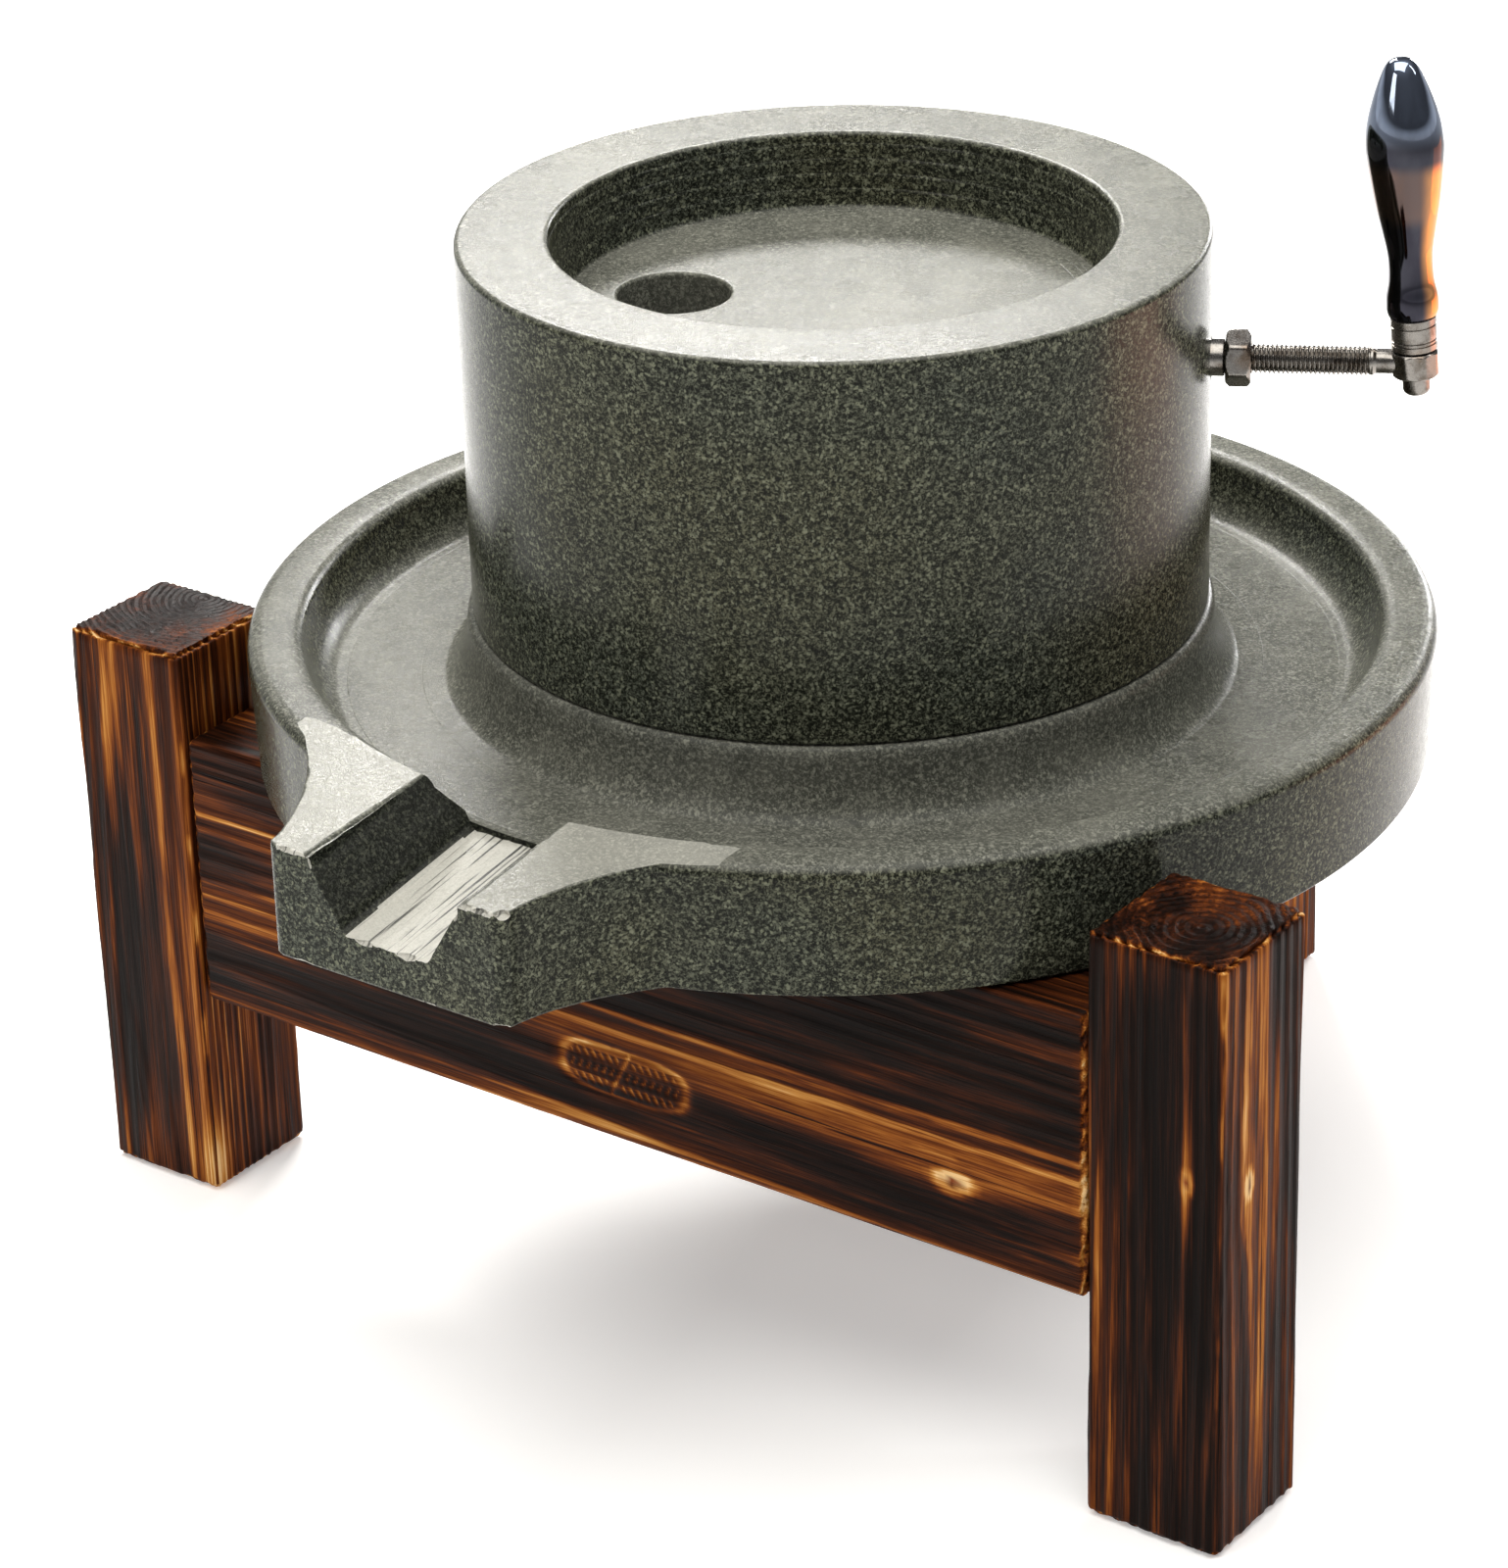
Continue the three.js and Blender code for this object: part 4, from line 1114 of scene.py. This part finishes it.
def cartouche(timber, centre_s, centre_t, half_s, half_t):
    """A burnt-in panel of slanting tally strokes in a rounded outline: how pale each point is.

    The strokes are an even hatching and stand for no letters.
    """
    u = (timber.s / MM - centre_s) / half_s
    v = (timber.b / MM - centre_t) / half_t
    on_face = timber.a < 1.5 * MM
    squareness, spacing = 3.2, 3.3
    out = (np.abs(u) ** squareness + np.abs(v) ** squareness) ** (1 / squareness)
    outline = np.exp(-((out - 0.93) * half_t / 0.85) ** 2)
    inside = out < 0.82
    from_divider = u + 0.05 - 0.18 * v
    divider = np.exp(-(from_divider * half_s / 0.8) ** 2) * inside
    strokes = np.zeros(len(u))
    for row, lean in enumerate((0.55, -0.5, 0.6)):
        middle = (row - 1) * 0.50
        along = (u * half_s + lean * (v - middle) * half_t) / spacing + 0.37 * row
        tick = np.abs(along - np.round(along)) * spacing
        strokes = np.maximum(strokes, np.exp(-(tick / 0.62) ** 2) * (np.abs(v - middle) < 0.19))
    strokes = strokes * inside * (np.abs(from_divider) > 0.10)
    ragged = 0.7 + 0.6 * timber.noise((2.5, 2, 2), 71, 2)
    return np.clip(np.maximum(np.maximum(outline, divider), strokes) * ragged, 0, 1) * on_face


def front_legs():
    right = Timber("front_leg_right", 2, (29, 22), 3.3, 3, (3.0, 0.8))
    right.knots = [(LOW_B, 134, 37, 3.6, 0.22), (HIGH_A, 130, 17, 3.4, 0.22)]
    right.scorch(0.73, 0.85, (110, 16, 16))
    right.add_spots(right.char, (
        (0.30, LOW_B, 140, 30, 75, 5), (0.30, LOW_B, 190, 46, 60, 5),
        (-0.30, LOW_B, 55, 14, 45, 12), (-0.30, LOW_B, 208, 28, 14, 22),
        (-0.32, HIGH_A, 170, 16, 60, 12), (-0.30, HIGH_A, 70, 12, 60, 10),
        (0.25, HIGH_A, 110, 38, 110, 8)))
    right.add_spots(right.pale, (
        (0.75, LOW_B, 134, 37, 22, 2.4), (0.42, LOW_B, 185, 36, 40, 2.0),
        (0.40, LOW_B, 62, 36, 34, 3.0), (0.22, LOW_B, 90, 49, 90, 1.6),
        (0.5, HIGH_A, 150, 13, 30, 2.6), (0.3, HIGH_A, 108, 18, 30, 2.2)))
    right.build(0.8, 0.5)

    left = Timber("front_leg_left", 2, (26, 44), 2.6, 5, (3.0, 0.8))
    left.scorch(0.75, 0.80, (110, 14, 14))
    left.add_spots(left.char, (
        (-0.35, LOW_B, 120, 46, 120, 5), (-0.30, LOW_B, 14, 25, 22, 30),
        (-0.25, LOW_B, 100, 6, 90, 5),
        (-0.30, HIGH_A, 60, 25, 60, 26), (-0.25, HIGH_A, 185, 20, 30, 26)))
    left.add_spots(left.pale, ((0.5, LOW_B, 10, 48, 16, 5), (0.4, HIGH_A, 10, 4, 16, 5)))
    left.build(0.9, 0.45)


def front_beam():
    beam = Timber("front_beam", 0, (170, -30), 3.2, 8, (3.0, 1.0), [(157, 216)])
    length, height = beam.size[0] / MM, beam.size[2] / MM
    s_knot, t_knot = length / 2 + 134.2, 27.3
    beam.knots = [(LOW_A, s_knot, t_knot, 6.0, 0.22)]
    beam.scorch(0.68, 0.95, (170, 30, 12))
    beam.add_spots(beam.char, (
        (0.30, LOW_A, length - 60, height - 16, 170, 24),
        (-0.42, LOW_A, s_knot - 60, t_knot + 12, 110, 11), (-0.30, LOW_A, s_knot + 40, t_knot + 4, 40, 8),
        (0.30, LOW_A, length / 2 + 60, 14, 200, 7), (-0.40, LOW_A, length / 2, 2, 260, 6),
        (-0.25, LOW_A, 40, 50, 70, 26)))
    beam.add_spots(beam.pale, (
        (0.35, LOW_A, s_knot - 4, t_knot, 30, 5), (0.25, LOW_A, s_knot - 50, t_knot + 10, 70, 4),
        (0.55, LOW_A, length, 50, 2.0, 60), (0.3, LOW_A, length - 14, 97, 30, 2)))
    panel = cartouche(beam, length / 2 + 2.3, 25.6, 27.5, 9.8)
    beam.pale = np.maximum(beam.pale, 0.6 * panel)
    beam.char -= 0.15 * panel
    beam.extra = 0.7 * panel
    beam.build(0.7, 0.45, 0.25)


def hidden_wood():
    """The middle beam and the back leg, plainer than the front."""
    middle = Timber("middle_beam", 1, (20, -30), 3.6, 13, (4.0, 1.6))
    middle.scorch(0.58, 0.5, (120, 25, 25))
    middle.build(0.5, 0.4, 0.25)

    back = Timber("back_leg", 2, (70, -30), 3.8, 21, (3.0, 1.2))
    back.knots = [(HIGH_B, 115, 70, 5.0, 0.22)]
    back.scorch(0.45, 0.6, (130, 24, 18))
    back.add_spots(back.char, ((-0.45, HIGH_A, 120, 18, 90, 18),))
    back.add_spots(back.pale, ((0.3, HIGH_B, 115, 70, 24, 5),))
    back.build(0.6, 0.4)


# ---------------------------------------------------------------- camera, floor and lights
TOWARDS_BACK = Vector((-0.5823, 0.8130, 0.0))      # level direction from the camera to the stones' axis
TO_RIGHT = Vector((0.8130, 0.5823, 0.0))
CAMERA_PLACE = (0.9434, -1.3171, 0.9448)
HEADING, YAW, PITCH, ROLL = -0.6215746511, -0.019318, math.radians(25.9), -0.0299746
LENS, SENSOR = 119.4, 36
SKY_TINT = 1.04                # how much bluer than grey the upper sky is
FLOOR_RADIUS, FLOOR_DROP = 12.0, 0.2 * MM


def camera():
    """The camera looks down on the mill; YAW turns it off the stones' axis and ROLL tilts it."""
    yaw, pitch, roll = YAW, PITCH, ROLL
    forward = Vector((math.sin(yaw) * math.cos(pitch), math.cos(yaw) * math.cos(pitch), -math.sin(pitch)))
    right = Vector((math.cos(yaw), -math.sin(yaw), 0))
    up = right.cross(forward)
    c, s = math.cos(roll), math.sin(roll)
    right, up = right * c + up * s, up * c - right * s
    turn = Matrix.Rotation(-HEADING, 3, "Z")
    axes = [turn @ v for v in (right, up, -forward)]
    data = bpy.data.cameras.new("camera")
    data.lens, data.sensor_width = LENS, SENSOR
    made = bpy.data.objects.new("camera", data)
    bpy.context.scene.collection.objects.link(made)
    basis = Matrix(axes).transposed().to_4x4()
    made.matrix_world = Matrix.Translation(CAMERA_PLACE) @ basis
    bpy.context.scene.camera = made
    bpy.context.scene.view_settings.view_transform = "Standard"


def softbox(name, back, right, height, width, tall, radiance, tint, aim=(0, 0, 0.25)):
    """An area light facing aim; back and right are metres from the stones' axis in the camera's terms."""
    data = bpy.data.lights.new(name, "AREA")
    data.shape, data.size, data.size_y = "RECTANGLE", width, tall
    data.energy = radiance * math.pi * width * tall
    data.color = colour(tint)[:3]
    light = bpy.data.objects.new(name, data)
    light.location = TOWARDS_BACK * back + TO_RIGHT * right + Vector((0, 0, height))
    light.rotation_euler = (Vector(aim) - light.location).to_track_quat("-Z", "Y").to_euler()
    light.visible_camera = False
    bpy.context.scene.collection.objects.link(light)


def studio():
    """A pale sky that is bright at the horizon, six soft lights and a round paper floor."""
    world = bpy.data.worlds.new("studio")
    bpy.context.scene.world = world
    world.use_nodes = True
    nodes, links = world.node_tree.nodes, world.node_tree.links
    split = nodes.new("ShaderNodeSeparateXYZ")
    links.new(nodes.new("ShaderNodeTexCoord").outputs["Generated"], split.inputs[0])
    sky = nodes.new("ShaderNodeValToRGB")
    links.new(split.outputs["Z"], sky.inputs["Fac"])
    greys = [(position, (level, level, level * SKY_TINT, 1))
             for position, level in ((0.16, 0.10), (0.5, 0.16), (1.0, 0.5))]
    fill_ramp(sky, [(0.0, (1.0, 1.0, 1.0, 1)), (0.06, (0.75, 0.76, 0.78, 1)), *greys])
    links.new(sky.outputs["Color"], nodes["Background"].inputs["Color"])
    nodes["Background"].inputs["Strength"].default_value = 1.0

    softbox("overhead", -0.3, -0.1, 2.3, 2.4, 2.4, 3.5, "#fffdf8")
    softbox("glare", 1.00, -0.13, 0.96, 0.52, 0.16, 76.0, "#fffdfa", (0, 0, 0.36))
    softbox("key", -1.5, -1.6, 1.4, 0.9, 0.9, 3.6, "#fffaf2")
    softbox("rim", -0.1, 1.6, 1.5, 0.15, 0.9, 9.0, "#ffffff")
    softbox("edge", 1.7, 0.9, 0.55, 0.25, 0.6, 30.0, "#ffffff")
    softbox("warm", 0.15, 0.85, 0.14, 0.5, 0.24, 2.2, "#ff8436", (0, 0, 0.2))

    floor = turned("floor", [(FLOOR_RADIUS, 0.0), (0, 0.0)], 96, materials=[paper("floor_paper")])
    transformed(floor, Matrix.Translation((0, 0, -FLOOR_DROP)))


camera()
studio()
lower_stone()
runner_stone()
crank()
handle()
front_legs()
front_beam()
hidden_wood()
